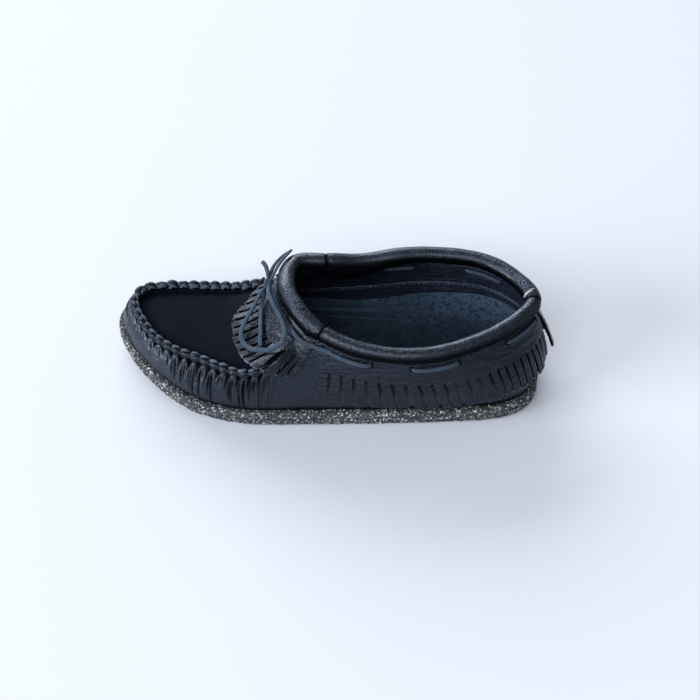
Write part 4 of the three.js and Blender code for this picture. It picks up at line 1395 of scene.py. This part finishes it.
# Each soft light: its name, its place, its width and height, and the setting that holds its power.
LIGHTS = (
    ("window", (2.5, -4.3, 2.65), (5.8, 2.8), "window_power"),
    ("side window", (6.1, 3.0, 2.7), (3.8, 2.9), "side_power"),
    ("overhead", (0.5, 3.0, 3.4), (3.4, 2.4), "overhead_power"),
)
LIGHT_COLOUR = (0.955, 0.975, 1.0)
LIGHT_AIM = (0.0, 0.0, 0.04)


def soft_light(name, place, size, power):
    light = bpy.data.lights.new(name, "AREA")
    light.shape = "RECTANGLE"
    light.size, light.size_y = size
    light.energy = power
    light.color = LIGHT_COLOUR
    lamp = put_in_scene(name, light)
    lamp.location = place
    lamp.rotation_euler = (Vector(LIGHT_AIM) - Vector(place)).to_track_quat("-Z", "Y").to_euler()


def make_camera():
    elevation, yaw = math.radians(CAMERA_ELEVATION), math.radians(CAMERA_YAW)
    forward = Vector((math.sin(yaw) * math.cos(elevation), -math.cos(yaw) * math.cos(elevation),
                      -math.sin(elevation)))
    right = Vector((-math.cos(yaw), -math.sin(yaw), 0.0))
    up = right.cross(forward)
    lens = bpy.data.cameras.new("photo_camera")
    lens.lens = CAMERA_LENS
    lens.sensor_width = CAMERA_SENSOR
    camera = put_in_scene("photo_camera", lens)
    turn = Matrix((right, up, -forward)).transposed().to_4x4()
    camera.matrix_world = Matrix.Translation(CAMERA_PLACE) @ turn
    bpy.context.scene.camera = camera


def make_floor(colour):
    """A plain pale floor, one flat square that reaches far behind the shoe."""
    points = [(-FLOOR_HALF, FLOOR_HALF, 0), (FLOOR_HALF, FLOOR_HALF, 0), (FLOOR_HALF, -FLOOR_HALF, 0),
              (-FLOOR_HALF, -FLOOR_HALF, 0)]
    mesh = bpy.data.meshes.new("floor")
    mesh.from_pydata(points, [], [(0, 3, 2, 1)])
    f = Finish("pale floor", colour, 0.75, Specular_IOR_Level=0.2)
    f.feed("Base Color", f.blend(f.noise(400.0, 2.0), shade(colour, 0.985), shade(colour, 1.0)))
    mesh.materials.append(f.material)
    put_in_scene("floor", mesh)


def make_light(look):
    scene = bpy.context.scene
    scene.view_settings.view_transform = "Standard"
    scene.view_settings.look = "Medium High Contrast"
    world = bpy.data.worlds.new("studio")
    world.use_nodes = True
    sky = world.node_tree.nodes["Background"]
    sky.inputs["Color"].default_value = (*look.sky, 1.0)
    sky.inputs["Strength"].default_value = look.sky_strength
    scene.world = world
    for name, place, size, setting in LIGHTS:
        soft_light(name, place, size, getattr(look, setting))


def linear(red, green, blue):
    """A colour as read on a screen, 0 to 255, in the renderer's own scale."""
    return tuple(
        ((c / 255 + 0.055) / 1.055) ** 2.4 if c > 10 else c / 255 / 12.92 for c in (red, green, blue)
    )


def length(label, about, value):
    return FloatProperty(name=label, description=about, default=value * MM, unit="LENGTH", precision=5)


def share(label, about, value):
    return FloatProperty(name=label, description=about, default=value, subtype="FACTOR", min=0.0, max=4.0)


def number(label, about, value):
    return IntProperty(name=label, description=about, default=value, min=1, max=80)


def power(label, about, value):
    return FloatProperty(name=label, description=about, default=value, unit="POWER", min=0.0)


def colour(label, about, value):
    return FloatVectorProperty(name=label, description=about, default=value, subtype="COLOR", size=3,
                               min=0.0, max=1.0)


class MoccasinSettings(bpy.types.PropertyGroup):
    """The sizes and colours of the boot that someone would change."""

    roll: length("Roll", "Thickness of the padded collar", ROLL)
    grain: length("Grain", "Width of a pebble in the leather's grain", 1.4)
    pleat: length("Pleat", "How deep the leather is drawn in between two pleats", 1.9)
    stitch_pitch: length("Stitch pitch", "Distance between two stitches of the raised seam", 7.3)
    bead: length("Bead", "How far the raised seam swells between two stitches", 1.55)
    thong_width: length("Thong width", "Width of the thong that whips over the seam", 2.1)
    lace_width: length("Lace width", "Width of the flat suede lace", 2.7)
    lace_thickness: length("Lace thickness", "Thickness of the flat suede lace", 1.4)
    flap_thickness: length("Flap thickness", "Thickness of the fringed flaps", 1.7)
    crease: length("Crease", "Depth of the fine creases in the flaps", 0.9)
    crumb: length("Crumb", "How far the rubber's crumbs stand out", 0.7)
    cuff_slit: share("Cuff slit", "Gap between two strips of a cuff, as a share of a strip", 0.24)
    kiltie_slit: share("Kiltie slit", "Gap between two strips of the front flap, as a share", 0.32)
    cuff_strips: number("Cuff strips", "Strips in each cuff", 24)
    kiltie_strips: number("Kiltie strips", "Strips in the front flap", 21)
    leather: colour("Leather", "Grained leather of the upper, cuffs and collar", linear(10, 12, 18))
    plug: colour("Plug", "Smooth leather over the toes", linear(24, 27, 36))
    edge: colour("Cut edge", "Raw edges of the leather", linear(106, 117, 134))
    lace: colour("Lace", "Suede lace", linear(69, 82, 97))
    thong: colour("Thong", "Thong of the raised seam", linear(88, 97, 112))
    insole: colour("Insole", "Suede inside the shoe", linear(56, 70, 86))
    rubber: colour("Rubber", "Pressed crumb rubber", linear(68, 70, 75))
    dust: colour("Dust", "Pale crumbs in the rubber", linear(158, 159, 162))
    thread: colour("Thread", "Thread of the heel seam", linear(196, 200, 206))
    floor: colour("Floor", "The floor that the shoe stands on", linear(211, 215, 224))
    sky: colour("Sky", "Light from all round", (0.92, 0.96, 1.0))
    sky_strength: share("Sky strength", "Strength of the light from all round", 0.29)
    window_power: power("Window", "Power of the large low light behind the shoe", 275.0)
    side_power: power("Side window", "Power of the soft light before the toe", 410.0)
    overhead_power: power("Overhead", "Power of the wide light from above", 92.0)


class Look:
    """The settings as the makers use them: lengths in millimetres, colours as plain tuples."""

    def __init__(self, group):
        for key, prop in group.bl_rna.properties.items():
            if key in ("rna_type", "name"):
                continue
            value = getattr(group, key)
            if prop.type == "FLOAT" and prop.unit == "LENGTH":
                value = value / MM
            setattr(self, key, tuple(value) if prop.type == "FLOAT" and prop.is_array else value)


class MOCCASIN_OT_camera(bpy.types.Operator):
    """Places the camera at the photograph's angle to the shoe"""

    bl_idname = "moccasin.camera"
    bl_label = "Camera"

    def execute(self, context):
        make_camera()
        return {"FINISHED"}


class MOCCASIN_OT_bow(bpy.types.Operator):
    """Ties the lace's bow: the knot, both loops and both ends"""

    bl_idname = "moccasin.bow"
    bl_label = "Bow"

    def execute(self, context):
        make_bow()
        return {"FINISHED"}


class MOCCASIN_OT_sole(bpy.types.Operator):
    """Presses the two layers of crumb rubber"""

    bl_idname = "moccasin.sole"
    bl_label = "Sole"

    def execute(self, context):
        make_sole()
        return {"FINISHED"}


class MOCCASIN_OT_insole(bpy.types.Operator):
    """Lays the suede insole"""

    bl_idname = "moccasin.insole"
    bl_label = "Insole"

    def execute(self, context):
        make_insole()
        return {"FINISHED"}


class MOCCASIN_OT_upper(bpy.types.Operator):
    """Raises the pleated wall and the lining round the heel"""

    bl_idname = "moccasin.upper"
    bl_label = "Upper"

    def execute(self, context):
        make_upper()
        make_heel_lining()
        return {"FINISHED"}


class MOCCASIN_OT_plug(bpy.types.Operator):
    """Sets the smooth plug over the toes"""

    bl_idname = "moccasin.plug"
    bl_label = "Plug"

    def execute(self, context):
        make_plug()
        return {"FINISHED"}


class MOCCASIN_OT_seam(bpy.types.Operator):
    """Whips the thong over the raised seam"""

    bl_idname = "moccasin.seam"
    bl_label = "Raised seam"

    def execute(self, context):
        make_seam()
        return {"FINISHED"}


class MOCCASIN_OT_collar(bpy.types.Operator):
    """Pads the collar and closes it over the heel seam"""

    bl_idname = "moccasin.collar"
    bl_label = "Collar"

    def execute(self, context):
        make_collar()
        make_heel_thread()
        return {"FINISHED"}


class MOCCASIN_OT_kiltie(bpy.types.Operator):
    """Cuts the fringed flap over the instep"""

    bl_idname = "moccasin.kiltie"
    bl_label = "Kiltie"

    def execute(self, context):
        make_kiltie()
        return {"FINISHED"}


class MOCCASIN_OT_cuffs(bpy.types.Operator):
    """Hangs the two fringed cuffs"""

    bl_idname = "moccasin.cuffs"
    bl_label = "Cuffs"

    def execute(self, context):
        make_cuffs()
        return {"FINISHED"}


class MOCCASIN_OT_lace(bpy.types.Operator):
    """Runs the lace through the cuff in long stitches"""

    bl_idname = "moccasin.lace"
    bl_label = "Lace"

    def execute(self, context):
        make_lace()
        return {"FINISHED"}


class MOCCASIN_OT_stage(bpy.types.Operator):
    """Lays the floor and sets the studio light"""

    bl_idname = "moccasin.stage"
    bl_label = "Stage"

    def execute(self, context):
        look = settings()
        make_floor(look.floor)
        make_light(look)
        return {"FINISHED"}


OPERATORS = (
    MOCCASIN_OT_camera, MOCCASIN_OT_bow, MOCCASIN_OT_sole, MOCCASIN_OT_insole, MOCCASIN_OT_upper,
    MOCCASIN_OT_plug, MOCCASIN_OT_seam, MOCCASIN_OT_collar, MOCCASIN_OT_kiltie, MOCCASIN_OT_cuffs,
    MOCCASIN_OT_lace, MOCCASIN_OT_stage,
)


class MOCCASIN_PT_panel(bpy.types.Panel):
    """The boot's sizes, colours and steps"""

    bl_label = "Moccasin boot"
    bl_idname = "MOCCASIN_PT_panel"
    bl_space_type = "VIEW_3D"
    bl_region_type = "UI"
    bl_category = "Moccasin"

    def draw(self, context):
        group = context.scene.moccasin
        for key in MoccasinSettings.__annotations__:
            self.layout.prop(group, key)
        for operator in OPERATORS:
            self.layout.operator(operator.bl_idname)


CLASSES = (MoccasinSettings, *OPERATORS, MOCCASIN_PT_panel)


def register():
    for kind in CLASSES:
        bpy.utils.register_class(kind)
    bpy.types.Scene.moccasin = PointerProperty(type=MoccasinSettings)


def unregister():
    del bpy.types.Scene.moccasin
    for kind in reversed(CLASSES):
        bpy.utils.unregister_class(kind)


def main():
    register()
    for operator in OPERATORS:
        getattr(bpy.ops.moccasin, operator.bl_idname.removeprefix("moccasin."))()


if __name__ == "__main__":
    main()
